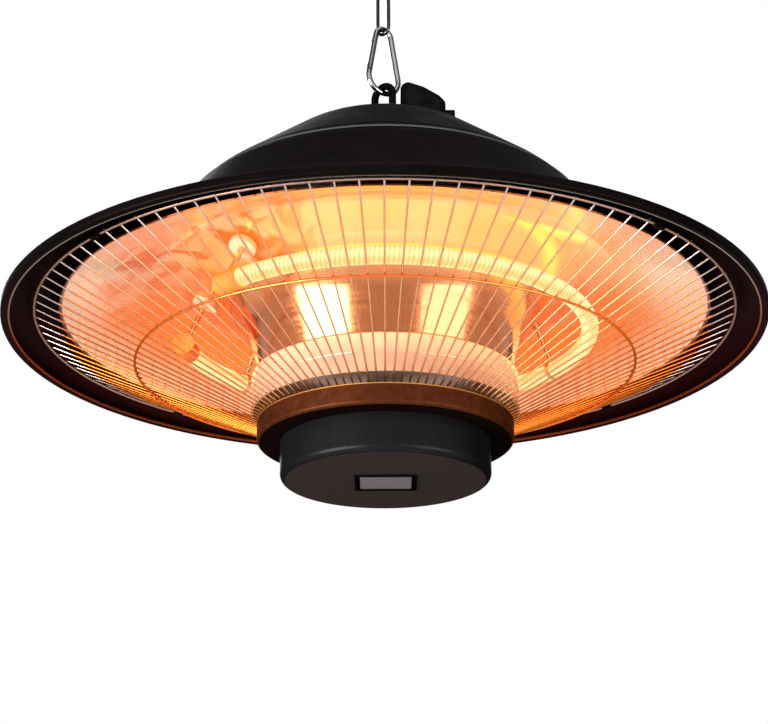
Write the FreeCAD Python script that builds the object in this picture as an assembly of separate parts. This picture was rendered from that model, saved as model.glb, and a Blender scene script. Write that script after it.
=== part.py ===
import FreeCAD, Part
import math
import os
from FreeCAD import Vector

# Hanging infrared heater: a round shade with a ring lamp, a wire guard and a control hub,
# hung by an eye, a carabiner and two chain links. Millimetres, Z up.
# The origin is the inside top of the upper chain link, where the ceiling hook carries it.
# Heights of the heater itself are counted from the lower edge of the shade's rim.

# Chain links
LINK_WIRE = 2.2
LINK_LENGTH = 31.0
LINK_WIDTH = 10.4
TOP_LINK_TURN = 72.0
LOWER_LINK_TURN = -38.0
HANG_GAP = 0.3
BEND_SHARE = 0.45

# Carabiner
CARABINER_WIRE = 3.5
CARABINER_LENGTH = 47.0
CARABINER_WIDTH = 24.0
CARABINER_TOP_WIDTH = 14.0
CARABINER_TURN = 32.0
GATE_PIVOT_RISE = 3.0
GATE_NOSE_DROP = 3.0
GATE_TONGUE = 1.3
GATE_SIDE_GAP = 0.15
GATE_END_GAP = 0.35
GATE_PIN = 1.2
GATE_PIN_GAP = 0.05

# Hanging eye and the strap that carries the heater
EYE_ROD = 4.4
EYE_WIDTH = 18.0
EYE_RISE = 31.0
EYE_TURN = -40.0
EYE_HOLE_GAP = 0.2
EYE_THREAD_GAP = 0.05
EYE_NUT_FLATS = 7.0
EYE_NUT_HEIGHT = 3.2
EYE_THREAD_PAST_NUT = 2.0
STRAP_WALL = 2.0
STRAP_WIDTH = 26.0
STRAP_TOP_HALF = 14.0
STRAP_FOOT_START = 36.0
STRAP_FOOT_LENGTH = 20.0
STRAP_BEND = 4.0

# Shade
RIM_RADIUS = 212.5
RIM_BAND = 5.0
RIM_HEM_WIDTH = 5.0
RIM_HEM_RISE = 1.2
RIM_EDGE_ROUND = 1.3
SHADE_WALL = 1.0
SHADE_HEIGHT = 76.0
SHADE_LEDGE = 4.0
SHADE_SHOULDER_ROUND = 5.0
SHADE_WAIST_RADIUS = 140.0
SHADE_WAIST_HEIGHT = 38.0
SHADE_WAIST_ROUND = 60.0

# Top cover
COVER_WALL = 1.6
COVER_HEIGHT = 58.0
COVER_RADIUS = 110.0
COVER_LIP = 3.4
COVER_CONE_INSET = 4.0
COVER_CONE_RISE = 7.0
COVER_BREAK_RADIUS = 57.0
COVER_BREAK_DROP = 13.0
COVER_FLAT_RADIUS = 24.0
COVER_EDGE_ROUND = 5.0
COVER_BREAK_ROUND = 40.0
COVER_TOP_ROUND = 12.0
COVER_BOSS_RADIUS = 4.2
COVER_BOSS_INSET = 12.0
COVER_SCREW_ANGLES = (30.0, 150.0, 270.0)

# Cable box on the cover
BOX_START = 10.0
BOX_LENGTH = 26.5
BOX_HALF_WIDTH = 11.0
BOX_WALL = 2.0
BOX_LEFT_RISE = 24.0
BOX_PEAK_RISE = 26.4
BOX_PEAK_AT = 4.2
BOX_SLOPE_RISE = 23.0
BOX_SLOPE_AT = 13.6
BOX_BROW_RISE = 17.0
BOX_BROW_AT = 23.0
BOX_RIGHT_RISE = 13.0
BOX_EDGE_ROUND = 4.0
BOX_LUG_REACH = 7.0
BOX_LUG_HALF = 5.0
BOX_LUG_WALL = 3.0
BOX_GASKET = 1.5
PAD_MARGIN = 2.0
PAD_ROUND = 4.0
GLAND_RISE = 5.5
GLAND_BORE = 3.0
GLAND_TUBE = 4.5
GLAND_FLANGE = 5.5
GLAND_FLANGE_WALL = 2.0
GLAND_INSIDE = 2.5
GLAND_OUTSIDE = 4.6
GLAND_NUT_END = 1.0
GLAND_GAP = 0.05
GLAND_MOUTH_GAP = 0.3
GLAND_LOCK_WALL = 2.2
GLAND_LOCK_RADIUS = 5.2
BLOCK_LENGTH = 14.0
BLOCK_HALF_WIDTH = 8.4
BLOCK_HEIGHT = 8.5
BLOCK_POLES = 3
BLOCK_POLE_PITCH = 5.0
WIRE_SLOT_MARGIN = 1.6

# Screws, one size for the sheet metal and a smaller one for the board
SCREW_RADIUS = 1.7
SCREW_HEAD_RADIUS = 3.2
SCREW_HEAD_HEIGHT = 2.0
SCREW_LENGTH = 9.0
SCREW_GAP = 0.05
STRAP_BOLT_RADIUS = 2.0
STRAP_BOLT_HEAD = 3.6
STRAP_NUT_FLATS = 7.0
STRAP_NUT_HEIGHT = 3.2
SMALL_SCREW_RADIUS = 1.1
SMALL_SCREW_HEAD = 2.2
SMALL_SCREW_HEAD_HEIGHT = 1.5

# Insulation under the shade's flat top
INSULATION_THICKNESS = 6.0
INSULATION_LEAD_INSET = 6.0
INSULATION_HOLE_GAP = 1.0

# Reflector: a dish round the lamp, and a column lapped behind its inner edge
REFLECTOR_WALL = 0.8
REFLECTOR_GUARD_INSET = 13.4
REFLECTOR_EDGE_HEIGHT = 9.0
CREST_OUTSET = 7.0
CREST_HEIGHT = 38.0
CREST_ROUND = 20.0
FLANK_INSET = 23.0
FLANK_HEIGHT = 24.0
FLANK_ROUND = 12.0
TRUMPET_INSET = 12.0
TRUMPET_HEIGHT = 4.0
TRUMPET_ROUND = 40.0
FOOT_INSET = 4.5
FOOT_RISE = 2.0
FOOT_ROUND = 6.0
SEAM_FROM_FLANK = 9.0
SEAM_LAP = 4.0
STANDOFF_RADIUS = 2.8
STANDOFF_INSET = 6.5
STANDOFF_ANGLES = (70.0, 190.0, 310.0)

# Ring lamp
LAMP_RADIUS = 115.0
LAMP_HEIGHT = 3.0
TUBE_RADIUS = 4.75
TUBE_WALL = 1.0
FILAMENT_GAP = 0.3
LAMP_START = 228.0
LAMP_SWEEP = 302.0
CAP_RADIUS = 6.2
CAP_LENGTH = 16.0
CAP_GRIP = 4.0
CAP_GAP = 0.1
POST_RADIUS = 1.5
POST_PAST_END = 9.0
POST_INSIDE = 14.0
POST_GAP = 0.1
BUSHING_RADIUS = 7.5
BUSHING_HEAD = 3.0
BUSHING_NECK = 4.0
BUSHING_GAP = 0.2
LAMP_NUT_RADIUS = 4.0
LAMP_NUT_HEIGHT = 2.5
CLIP_ANGLES = (29.0, 138.0)
CLIP_WALL = 0.8
CLIP_WIDTH = 4.0
CLIP_GAP = 0.2
CLIP_SHOULDER_RADIUS = 3.0
CLIP_SHOULDER = 1.2
CLIP_POST_PAST = 5.0
LEAD_RADIUS = 1.5
LEAD_FIRST_RUN = 12.0
LEAD_COVER_INSET = 24.0
LEAD_UNDER_SHADE = 8.0
LAST_RUN_UNDER_BLOCK = 16.0
LEAD_RISE_ABOVE_SHADE = 14.0
LEAD_BEND = 12.0

# Tie tube down the middle and its nuts
TIE_TUBE_RADIUS = 6.0
TIE_TUBE_BORE = 4.0
TIE_TUBE_GAP = 0.15
TIE_NUT_FLATS = 18.0
TIE_NUT_HEIGHT = 6.0
TIE_TUBE_PAST_NUT = 2.0

# Column drum under the trumpet
DRUM_RADIUS = 74.5
DRUM_WALL = 1.2
DRUM_TOP_HEIGHT = -22.0
DRUM_DEPTH = 22.0
DRUM_EDGE_ROUND = 1.5
DRUM_GROOVE_DROP = 11.0
DRUM_GROOVE_WIDTH = 1.0
DRUM_GROOVE_DEPTH = 0.5

# Wire guard
GUARD_RIM_INSET = 17.8
GUARD_RING_HEIGHT = 6.2
GUARD_RING_WIRE = 1.6
GUARD_MID_RADIUS = 139.0
GUARD_MID_WIRE = 1.4
GUARD_COLLAR_INSET = 5.5
GUARD_COLLAR_DROP = 2.4
GUARD_WIRE = 1.0
GUARD_WIRE_COUNT = 104
GUARD_WELD = 0.15
GUARD_WIRE_PAST_RING = 1.5
GUARD_CLIP_ANGLES = (45.0, 135.0, 225.0, 315.0)
GUARD_CLIP_WIDTH = 6.0
GUARD_CLIP_WALL = 0.8
GUARD_CLIP_FLAT = 8.0
GUARD_CLIP_REACH = 2.0
GUARD_CLIP_GAP = 0.1
RIVET_RADIUS = 1.6
RIVET_HEAD = 2.8
RIVET_HEAD_HEIGHT = 1.0

# Control hub
COLLAR_RADIUS = 71.0
COLLAR_WALL = 1.6
COLLAR_TOP_HEIGHT = -49.0
COLLAR_DEPTH = 11.5
COLLAR_ROUND = 2.0
SEAT_WIDTH = 4.0
SEAT_GAP = 0.05
CUP_RADIUS = 58.0
CUP_WALL = 1.8
CUP_FLOOR = 2.0
CUP_DEPTH = 21.5
CUP_ROUND = 4.0
CUP_BOSS_RADIUS = 3.6
CUP_BOSS_INSET = 5.5
CUP_SCREW_ANGLES = (90.0, 210.0, 330.0)
BOARD_RADIUS = 44.0
BOARD_THICKNESS = 1.6
BOARD_RISE = 10.0
BOARD_BOSS_RADIUS = 3.4
BOARD_BOSS_INSET = 6.0
BOARD_SCREW_ANGLES = (30.0, 150.0, 270.0)
BOARD_SCREW_LENGTH = 6.0
RELAY_SIZE = (19.0, 16.0, 7.0)
RELAY_AT = 14.0
POWER_SIZE = (20.0, 20.0, 7.0)
POWER_AT = 14.0
CONNECTOR_SIZE = (12.0, 9.0, 4.4)
RECEIVER_SIZE = (6.0, 5.0, 5.0)
LED_RADIUS = 1.5
LED_HEIGHT = 4.0
LED_AT = 8.0
HARNESS_RADIUS = 2.6
HARNESS_BEND = 26.0
WINDOW_LENGTH = 28.0
WINDOW_DEPTH = 24.0
WINDOW_GAP = 0.2
WINDOW_LIP = 1.2
WINDOW_LIP_WALL = 1.0
WINDOW_INSET = 0.3
BEZEL_FRAME = 1.6
BEZEL_FLANGE = 1.2
BEZEL_PROUD = 0.8
BEZEL_SPIGOT_PAST = 0.8

# Heights of the hanging chain, from the hook down
link_inside = LINK_LENGTH - 2 * LINK_WIRE
top_link_bar = -link_inside - LINK_WIRE / 2
lower_link_top = -link_inside + HANG_GAP
lower_link_bar = lower_link_top - link_inside - LINK_WIRE / 2
carabiner_top = lower_link_top - link_inside + HANG_GAP
carabiner_bar = carabiner_top - (CARABINER_LENGTH - 2 * CARABINER_WIRE) - CARABINER_WIRE / 2
eye_inside_top = carabiner_bar + CARABINER_WIRE / 2 + HANG_GAP
cover_top_height = SHADE_HEIGHT + COVER_HEIGHT
rim_z = eye_inside_top + EYE_ROD - EYE_RISE - cover_top_height

# Radii that follow the rim, the cover, the lamp and the hub
guard_radius = RIM_RADIUS - GUARD_RIM_INSET
guard_inner_radius = COLLAR_RADIUS - GUARD_COLLAR_INSET
reflector_edge_radius = guard_radius - REFLECTOR_GUARD_INSET
crest_radius = LAMP_RADIUS + CREST_OUTSET
flank_radius = LAMP_RADIUS - FLANK_INSET
trumpet_radius = flank_radius - TRUMPET_INSET
foot_radius = DRUM_RADIUS - FOOT_INSET
shade_top_radius = COVER_RADIUS + SHADE_LEDGE
standoff_circle = shade_top_radius - STANDOFF_INSET
lead_hole_circle = COVER_RADIUS - LEAD_COVER_INSET
insulation_radius = lead_hole_circle - INSULATION_LEAD_INSET

# Heights of the heater's seats, from the rim's lower edge
shade_underside = SHADE_HEIGHT - SHADE_WALL
cover_inside_top = cover_top_height - COVER_WALL
box_seat = cover_top_height + BOX_GASKET
gland_height = box_seat + GLAND_RISE
drum_bottom = DRUM_TOP_HEIGHT - DRUM_DEPTH
collar_floor_bottom = COLLAR_TOP_HEIGHT - COLLAR_DEPTH
collar_floor_top = collar_floor_bottom + COLLAR_WALL
cup_bottom = collar_floor_bottom - CUP_DEPTH
cup_floor_top = cup_bottom + CUP_FLOOR
board_bottom = cup_floor_top + BOARD_RISE
board_top = board_bottom + BOARD_THICKNESS


def level(height):
    """Z of a height counted from the rim's lower edge."""
    return rim_z + height


def polar(radius, angle):
    """X and Y of a point on a circle round the axis."""
    turn = math.radians(angle)
    return radius * math.cos(turn), radius * math.sin(turn)


def cylinder(radius, bottom, top, x=0.0, y=0.0):
    return Part.makeCylinder(radius, top - bottom, Vector(x, y, level(bottom)))


def cylinders(radius, bottom, top, places):
    return [cylinder(radius, bottom, top, x, y) for x, y in places]


def block(size_x, size_y, bottom, top, x=0.0, y=0.0):
    corner = Vector(x - size_x / 2, y - size_y / 2, level(bottom))
    return Part.makeBox(size_x, size_y, top - bottom, corner)


def pipe(radius, bore, bottom, top, x=0.0, y=0.0):
    return cylinder(radius, bottom, top, x, y).cut(cylinder(bore, bottom, top, x, y))


def hex_nut(flats, bore, bottom, top, x=0.0, y=0.0):
    reach = flats / math.sqrt(3.0)
    corners = []
    for side in range(7):
        corner_x, corner_y = polar(reach, 60.0 * side)
        corners.append(Vector(x + corner_x, y + corner_y, level(bottom)))
    prism = Part.Face(Part.makePolygon(corners)).extrude(Vector(0, 0, top - bottom))
    return prism.cut(cylinder(bore, bottom, top, x, y))


def screw_up(x, y, seat, length, radius, head_radius, head_height):
    """A screw driven upwards, its head under the seat."""
    head = cylinder(head_radius, seat - head_height, seat, x, y)
    return head.fuse(cylinder(radius, seat, seat + length, x, y)).removeSplitter()


def screw_down(x, y, seat, length, radius, head_radius, head_height):
    """A screw driven downwards, its head on the seat."""
    head = cylinder(head_radius, seat, seat + head_height, x, y)
    return head.fuse(cylinder(radius, seat - length, seat, x, y)).removeSplitter()


def corner_turn(before, corner, after):
    """Unit directions into and out of a corner, and the angle between them."""
    into = (corner - before).normalize()
    out = (after - corner).normalize()
    return into, out, into.getAngle(out)


def rounded_edges(points, radii):
    """Lines through the points, with a tangent arc of the given radius at each inner point."""
    edges = []
    start = points[0]
    for before, corner, after, radius in zip(points, points[1:], points[2:], radii):
        into, out, turn = corner_turn(before, corner, after)
        if radius <= 0 or turn < 1e-6:
            edges.append(Part.LineSegment(start, corner).toShape())
            start = corner
            continue
        reach = radius * math.tan(turn / 2)
        first = corner - into * reach
        last = corner + out * reach
        inward = (out - into).normalize()
        middle = corner + inward * radius * (1 / math.cos(turn / 2) - 1)
        if start.distanceToPoint(first) > 1e-6:
            edges.append(Part.LineSegment(start, first).toShape())
        edges.append(Part.Arc(first, middle, last).toShape())
        start = last
    edges.append(Part.LineSegment(start, points[-1]).toShape())
    return edges


def left_of(direction):
    """The left-hand normal of a direction drawn in the XZ plane."""
    return Vector(-direction.z, 0, direction.x)


def parallel_path(points, radii, distance):
    """The same path moved to its left, and the arc radii that keep the two parallel."""
    moved = [points[0] + left_of((points[1] - points[0]).normalize()) * distance]
    moved_radii = []
    for before, corner, after, radius in zip(points, points[1:], points[2:], radii):
        into, out, turn = corner_turn(before, corner, after)
        bisector = (left_of(into) + left_of(out)).normalize()
        moved.append(corner + bisector * (distance / math.cos(turn / 2)))
        turns_left = left_of(into).dot(out) > 0
        moved_radii.append(max(radius - distance if turns_left else radius + distance, 0.0))
    moved.append(points[-1] + left_of((points[-1] - points[-2]).normalize()) * distance)
    return moved, moved_radii


def sheet_face(points, radii, wall):
    """A strip of sheet in the XZ plane, its thickness to the left of the path."""
    moved, moved_radii = parallel_path(points, radii, wall)
    edges = rounded_edges(points, radii)
    edges.append(Part.LineSegment(points[-1], moved[-1]).toShape())
    edges += rounded_edges(moved[::-1], moved_radii[::-1])
    edges.append(Part.LineSegment(moved[0], points[0]).toShape())
    return Part.Face(Part.Wire(Part.__sortEdges__(edges)))


def spun(face):
    return face.revolve(Vector(0, 0, 0), Vector(0, 0, 1), 360)


def section(*pairs):
    """Points of a spun section from pairs of radius and height."""
    return [Vector(radius, 0, level(height)) for radius, height in pairs]


def turned(shape, angle):
    """The shape turned round the Z axis."""
    result = shape.copy()
    result.rotate(Vector(0, 0, 0), Vector(0, 0, 1), angle)
    return result


def swept_rod(edges, radius):
    """A round rod along a smooth chain of edges."""
    path = Part.Wire(edges)
    first = edges[0]
    start = first.valueAt(first.FirstParameter)
    direction = first.tangentAt(first.FirstParameter)
    outline = Part.Wire(Part.makeCircle(radius, start, direction))
    return path.makePipeShell([outline], True, False)


def routed_rod(name, points, radius, largest_bend):
    """A rod through points, each bend as large as its two runs allow, up to a largest bend."""
    radii = []
    for before, corner, after in zip(points, points[1:], points[2:]):
        turn = corner_turn(before, corner, after)[2]
        shorter = min(corner.distanceToPoint(before), after.distanceToPoint(corner))
        radii.append(min(BEND_SHARE * shorter / math.tan(turn / 2), largest_bend))
    edges = rounded_edges(points, radii)
    rod = swept_rod(edges, radius)
    expected = math.pi * radius**2 * sum(edge.Length for edge in edges)
    bends = [round(bend, 1) for bend in radii]
    print(name, "bends", bends, "volume", round(rod.Volume, 1), "section by length", round(expected, 1))
    return rod


def ring_arc(radius, wire_radius, height, start, sweep):
    """Part of a round ring of wire, from one angle through a sweep."""
    circle = Part.makeCircle(wire_radius, Vector(radius, 0, level(height)), Vector(0, 1, 0))
    disc = Part.Face(Part.Wire(circle))
    return turned(disc.revolve(Vector(0, 0, 0), Vector(0, 0, 1), sweep), start)


def chain_link(inside_top, turn):
    half = (LINK_WIDTH - LINK_WIRE) / 2
    top = inside_top + LINK_WIRE / 2
    bottom = inside_top - link_inside - LINK_WIRE / 2
    high_right = Vector(half, 0, top - half)
    high_left = Vector(-half, 0, top - half)
    low_right = Vector(half, 0, bottom + half)
    low_left = Vector(-half, 0, bottom + half)
    edges = []
    edges.append(Part.LineSegment(low_right, high_right).toShape())
    edges.append(Part.Arc(high_right, Vector(0, 0, top), high_left).toShape())
    edges.append(Part.LineSegment(high_left, low_left).toShape())
    edges.append(Part.Arc(low_left, Vector(0, 0, bottom), low_right).toShape())
    return turned(swept_rod(edges, LINK_WIRE / 2), turn)


# Carabiner lines in its own plane: a wide bend below, a narrow one above, straight sides between
carabiner_low_bend = (CARABINER_WIDTH - CARABINER_WIRE) / 2
carabiner_high_bend = (CARABINER_TOP_WIDTH - CARABINER_WIRE) / 2
carabiner_low_centre = Vector(0, 0, carabiner_bar + carabiner_low_bend)
carabiner_high_centre = Vector(0, 0, carabiner_top + CARABINER_WIRE / 2 - carabiner_high_bend)
carabiner_lean = math.asin(
    (carabiner_low_bend - carabiner_high_bend) / (carabiner_high_centre.z - carabiner_low_centre.z)
)
carabiner_side = Vector(math.cos(carabiner_lean), 0, math.sin(carabiner_lean))
gate_side = Vector(-carabiner_side.x, 0, carabiner_side.z)
gate_foot = carabiner_low_centre + gate_side * carabiner_low_bend
gate_crown = carabiner_high_centre + gate_side * carabiner_high_bend
gate_up = (gate_crown - gate_foot).normalize()
gate_pivot = gate_foot + gate_up * GATE_PIVOT_RISE
gate_nose = gate_crown - gate_up * GATE_NOSE_DROP
tongue_round = CARABINER_WIRE / 2 - GATE_SIDE_GAP
tongue_slot = GATE_TONGUE + 2 * GATE_SIDE_GAP
gate_slot_length = CARABINER_WIRE


def plate_along(start, end, width, thickness):
    """A flat bar in the carabiner's plane from start to end, centred on that line."""
    along = (end - start).normalize()
    across = left_of(along) * (width / 2)
    half = Vector(0, thickness / 2, 0)
    corners = [start + across, end + across, end - across, start - across, start + across]
    face = Part.Face(Part.makePolygon([corner - half for corner in corners]))
    return face.extrude(half * 2)


def disc_across(centre, radius, thickness):
    """A disc lying in the carabiner's plane."""
    return Part.makeCylinder(radius, thickness, centre - Vector(0, thickness / 2, 0), Vector(0, 1, 0))


def carabiner_body():
    low_right = carabiner_low_centre + carabiner_side * carabiner_low_bend
    high_right = carabiner_high_centre + carabiner_side * carabiner_high_bend
    body_foot = gate_pivot - gate_up * (tongue_round + GATE_END_GAP)
    edges = []
    edges.append(Part.LineSegment(body_foot, gate_foot).toShape())
    low_point = carabiner_low_centre - Vector(0, 0, carabiner_low_bend)
    edges.append(Part.Arc(gate_foot, low_point, low_right).toShape())
    edges.append(Part.LineSegment(low_right, high_right).toShape())
    high_point = carabiner_high_centre + Vector(0, 0, carabiner_high_bend)
    edges.append(Part.Arc(high_right, high_point, gate_crown).toShape())
    edges.append(Part.LineSegment(gate_crown, gate_nose).toShape())
    wire = swept_rod(edges, CARABINER_WIRE / 2)
    lower_tongue = plate_along(gate_foot, gate_pivot, 2 * tongue_round, GATE_TONGUE)
    lower_tongue = lower_tongue.fuse(disc_across(gate_pivot, tongue_round, GATE_TONGUE))
    lower_tongue = lower_tongue.cut(disc_across(gate_pivot, GATE_PIN / 2, CARABINER_WIRE))
    nose_end = gate_nose - gate_up * (gate_slot_length - GATE_END_GAP)
    nose_tongue = plate_along(nose_end, gate_crown, 2 * tongue_round, GATE_TONGUE)
    return wire.fuse([lower_tongue, nose_tongue]).removeSplitter()


def carabiner_gate():
    top = gate_nose - gate_up * GATE_END_GAP
    length = (top - gate_pivot).Length
    bar = Part.makeCylinder(CARABINER_WIRE / 2, length, gate_pivot, gate_up)
    knuckle = disc_across(gate_pivot, tongue_round, CARABINER_WIRE)
    rounding = Part.makeCylinder(
        CARABINER_WIRE / 2, CARABINER_WIRE, gate_pivot - gate_up * (CARABINER_WIRE / 2), gate_up
    )
    gate = bar.fuse(knuckle.common(rounding))
    low_slot_end = gate_pivot + gate_up * (tongue_round + GATE_END_GAP)
    low_slot_start = gate_pivot - gate_up * CARABINER_WIRE
    low_slot = plate_along(low_slot_start, low_slot_end, 2 * CARABINER_WIRE, tongue_slot)
    high_slot_end = gate_nose - gate_up * (gate_slot_length + GATE_END_GAP)
    high_slot = plate_along(high_slot_end, gate_nose, 2 * CARABINER_WIRE, tongue_slot)
    pin_hole = disc_across(gate_pivot, GATE_PIN / 2 + GATE_PIN_GAP, 2 * CARABINER_WIRE)
    return gate.cut([low_slot, high_slot, pin_hole]).removeSplitter()


def carabiner_gate_pin():
    return disc_across(gate_pivot, GATE_PIN / 2, CARABINER_WIRE)


# Hanging eye: two threaded legs that stand on the strap's top
eye_leg = (EYE_WIDTH - EYE_ROD) / 2
strap_top_underside = cover_inside_top - STRAP_WALL
eye_leg_end = strap_top_underside - EYE_NUT_HEIGHT - EYE_THREAD_PAST_NUT
eye_legs = (polar(eye_leg, EYE_TURN), polar(-eye_leg, EYE_TURN))
strap_bolt_at = STRAP_FOOT_START + STRAP_FOOT_LENGTH / 2
strap_bolts = ((0.0, strap_bolt_at), (0.0, -strap_bolt_at))


def hanging_eye():
    bend = eye_inside_top + EYE_ROD / 2 - eye_leg
    foot = level(eye_leg_end)
    edges = []
    edges.append(Part.LineSegment(Vector(-eye_leg, 0, foot), Vector(-eye_leg, 0, bend)).toShape())
    top = Vector(0, 0, bend + eye_leg)
    edges.append(Part.Arc(Vector(-eye_leg, 0, bend), top, Vector(eye_leg, 0, bend)).toShape())
    edges.append(Part.LineSegment(Vector(eye_leg, 0, bend), Vector(eye_leg, 0, foot)).toShape())
    return turned(swept_rod(edges, EYE_ROD / 2), EYE_TURN)


def eye_nuts():
    bore = EYE_ROD / 2 + EYE_THREAD_GAP
    bottom = strap_top_underside - EYE_NUT_HEIGHT
    return [hex_nut(EYE_NUT_FLATS, bore, bottom, strap_top_underside, x, y) for x, y in eye_legs]


def hanger_strap():
    foot_end = STRAP_FOOT_START + STRAP_FOOT_LENGTH
    seat = level(SHADE_HEIGHT)
    under = level(strap_top_underside)
    path = [
        Vector(-foot_end, 0, seat),
        Vector(-STRAP_FOOT_START, 0, seat),
        Vector(-STRAP_TOP_HALF, 0, under),
        Vector(STRAP_TOP_HALF, 0, under),
        Vector(STRAP_FOOT_START, 0, seat),
        Vector(foot_end, 0, seat),
    ]
    radii = [STRAP_BEND + STRAP_WALL, STRAP_BEND, STRAP_BEND, STRAP_BEND + STRAP_WALL]
    strip = sheet_face(path, radii, STRAP_WALL).extrude(Vector(0, STRAP_WIDTH, 0))
    strip.translate(Vector(0, -STRAP_WIDTH / 2, 0))
    strip = turned(strip, 90)
    holes = cylinders(EYE_ROD / 2 + EYE_HOLE_GAP, eye_leg_end, cover_top_height, eye_legs)
    bolt_top = SHADE_HEIGHT + 2 * STRAP_WALL
    holes += cylinders(STRAP_BOLT_RADIUS + SCREW_GAP, SHADE_HEIGHT, bolt_top, strap_bolts)
    return strip.cut(holes)


def strap_bolt_group():
    seat = SHADE_HEIGHT + STRAP_WALL
    length = STRAP_WALL + SHADE_WALL + STRAP_NUT_HEIGHT + SCREW_HEAD_HEIGHT / 2
    return [
        screw_down(x, y, seat, length, STRAP_BOLT_RADIUS, STRAP_BOLT_HEAD, SCREW_HEAD_HEIGHT)
        for x, y in strap_bolts
    ]


def strap_nut_group():
    bottom = shade_underside - STRAP_NUT_HEIGHT
    bore = STRAP_BOLT_RADIUS + SCREW_GAP
    return [hex_nut(STRAP_NUT_FLATS, bore, bottom, shade_underside, x, y) for x, y in strap_bolts]


# Shade
guard_clip_step = 360.0 / GUARD_WIRE_COUNT
guard_clip_steps = [round(angle / guard_clip_step - 0.5) + 0.5 for angle in GUARD_CLIP_ANGLES]
guard_clip_angles = [step * guard_clip_step for step in guard_clip_steps]
shade_path = section(
    (TIE_TUBE_RADIUS + TIE_TUBE_GAP, SHADE_HEIGHT),
    (shade_top_radius, SHADE_HEIGHT),
    (SHADE_WAIST_RADIUS, SHADE_WAIST_HEIGHT),
    (RIM_RADIUS, RIM_BAND),
    (RIM_RADIUS, 0.0),
    (RIM_RADIUS - RIM_HEM_WIDTH, RIM_HEM_RISE),
)
shade_radii = [SHADE_SHOULDER_ROUND, SHADE_WAIST_ROUND, RIM_EDGE_ROUND, RIM_EDGE_ROUND]
shade_apron = math.atan2(SHADE_WAIST_HEIGHT - RIM_BAND, RIM_RADIUS - SHADE_WAIST_RADIUS)
apron_inward = Vector(-math.cos(shade_apron), 0, math.sin(shade_apron))
apron_down = Vector(-math.sin(shade_apron), 0, -math.cos(shade_apron))
cover_screw_circle = COVER_RADIUS - COVER_BOSS_INSET
cover_screws = [polar(cover_screw_circle, angle) for angle in COVER_SCREW_ANGLES]


def apron_point(radius):
    """A point of the shade's inner face on its straight apron, in the XZ plane."""
    rise = (RIM_RADIUS - radius) * math.tan(shade_apron)
    drop = SHADE_WALL / math.cos(shade_apron)
    return Vector(radius, 0, level(RIM_BAND + rise - drop))


def shade():
    shell = spun(sheet_face(shade_path, shade_radii, -SHADE_WALL))
    cuts = cylinders(STRAP_BOLT_RADIUS + SCREW_GAP, shade_underside, SHADE_HEIGHT, strap_bolts)
    cuts += cylinders(SCREW_RADIUS + SCREW_GAP, shade_underside, SHADE_HEIGHT, cover_screws)
    cuts += cylinders(LEAD_RADIUS + INSULATION_HOLE_GAP / 2, shade_underside, SHADE_HEIGHT, lead_holes)
    cuts += [turned(rivet_shank(RIVET_RADIUS + SCREW_GAP), angle) for angle in guard_clip_angles]
    return shell.cut(cuts)


# Top cover
cover_path = section(
    (0.0, cover_top_height),
    (COVER_FLAT_RADIUS, cover_top_height),
    (COVER_BREAK_RADIUS, cover_top_height - COVER_BREAK_DROP),
    (COVER_RADIUS - COVER_CONE_INSET, SHADE_HEIGHT + COVER_CONE_RISE),
    (COVER_RADIUS, SHADE_HEIGHT + COVER_LIP),
    (COVER_RADIUS, SHADE_HEIGHT),
)
cover_radii = [COVER_TOP_ROUND, COVER_BREAK_ROUND, COVER_EDGE_ROUND, 0.0]
box_end = BOX_START + BOX_LENGTH
box_middle = BOX_START + BOX_LENGTH / 2
pad_half = BOX_HALF_WIDTH + BOX_LUG_REACH
lug_screw_at = BOX_HALF_WIDTH + BOX_LUG_REACH / 2
lug_screws = ((box_middle, lug_screw_at), (box_middle, -lug_screw_at))
block_middle = box_middle + PAD_MARGIN / 2


def cover_filled(path, radii):
    """The solid under a cover path, down to its lower edge."""
    edges = rounded_edges(path, radii)
    foot = Vector(0, 0, path[-1].z)
    edges.append(Part.LineSegment(path[-1], foot).toShape())
    edges.append(Part.LineSegment(foot, path[0]).toShape())
    return spun(Part.Face(Part.Wire(Part.__sortEdges__(edges))))


def top_cover():
    outside = cover_filled(cover_path, cover_radii)
    inside = cover_filled(*parallel_path(cover_path, cover_radii, -COVER_WALL))
    pad_start = BOX_START - PAD_MARGIN
    pad_length = BOX_LENGTH + 2 * PAD_MARGIN
    pad_middle = pad_start + pad_length / 2
    pad_bottom = SHADE_HEIGHT + COVER_LIP
    pad = block(pad_length, 2 * pad_half, pad_bottom, cover_top_height, pad_middle)
    upright = [edge for edge in pad.Edges if abs(edge.tangentAt(0).z) > 0.99]
    pad = pad.makeFillet(PAD_ROUND, upright)
    cover = outside.fuse(pad).cut(inside)
    boss_top = SHADE_HEIGHT + COVER_HEIGHT
    posts = cylinders(COVER_BOSS_RADIUS, SHADE_HEIGHT, boss_top, cover_screws)
    cover = cover.fuse([post.common(outside) for post in posts])
    pilot_top = SHADE_HEIGHT + SCREW_LENGTH
    cuts = cylinders(SCREW_RADIUS + SCREW_GAP, SHADE_HEIGHT, pilot_top, cover_screws)
    cuts += cylinders(EYE_ROD / 2 + EYE_HOLE_GAP, cover_inside_top, cover_top_height, eye_legs)
    lug_hole_bottom = box_seat + BOX_LUG_WALL - SCREW_LENGTH - SCREW_GAP
    cuts += cylinders(SCREW_RADIUS + SCREW_GAP, lug_hole_bottom, cover_top_height, lug_screws)
    slot_length = BLOCK_LENGTH - 2 * WIRE_SLOT_MARGIN
    slot_width = 2 * (BLOCK_HALF_WIDTH - WIRE_SLOT_MARGIN)
    cuts.append(block(slot_length, slot_width, pad_bottom, cover_top_height, block_middle))
    return cover.cut(cuts).removeSplitter()


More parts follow.
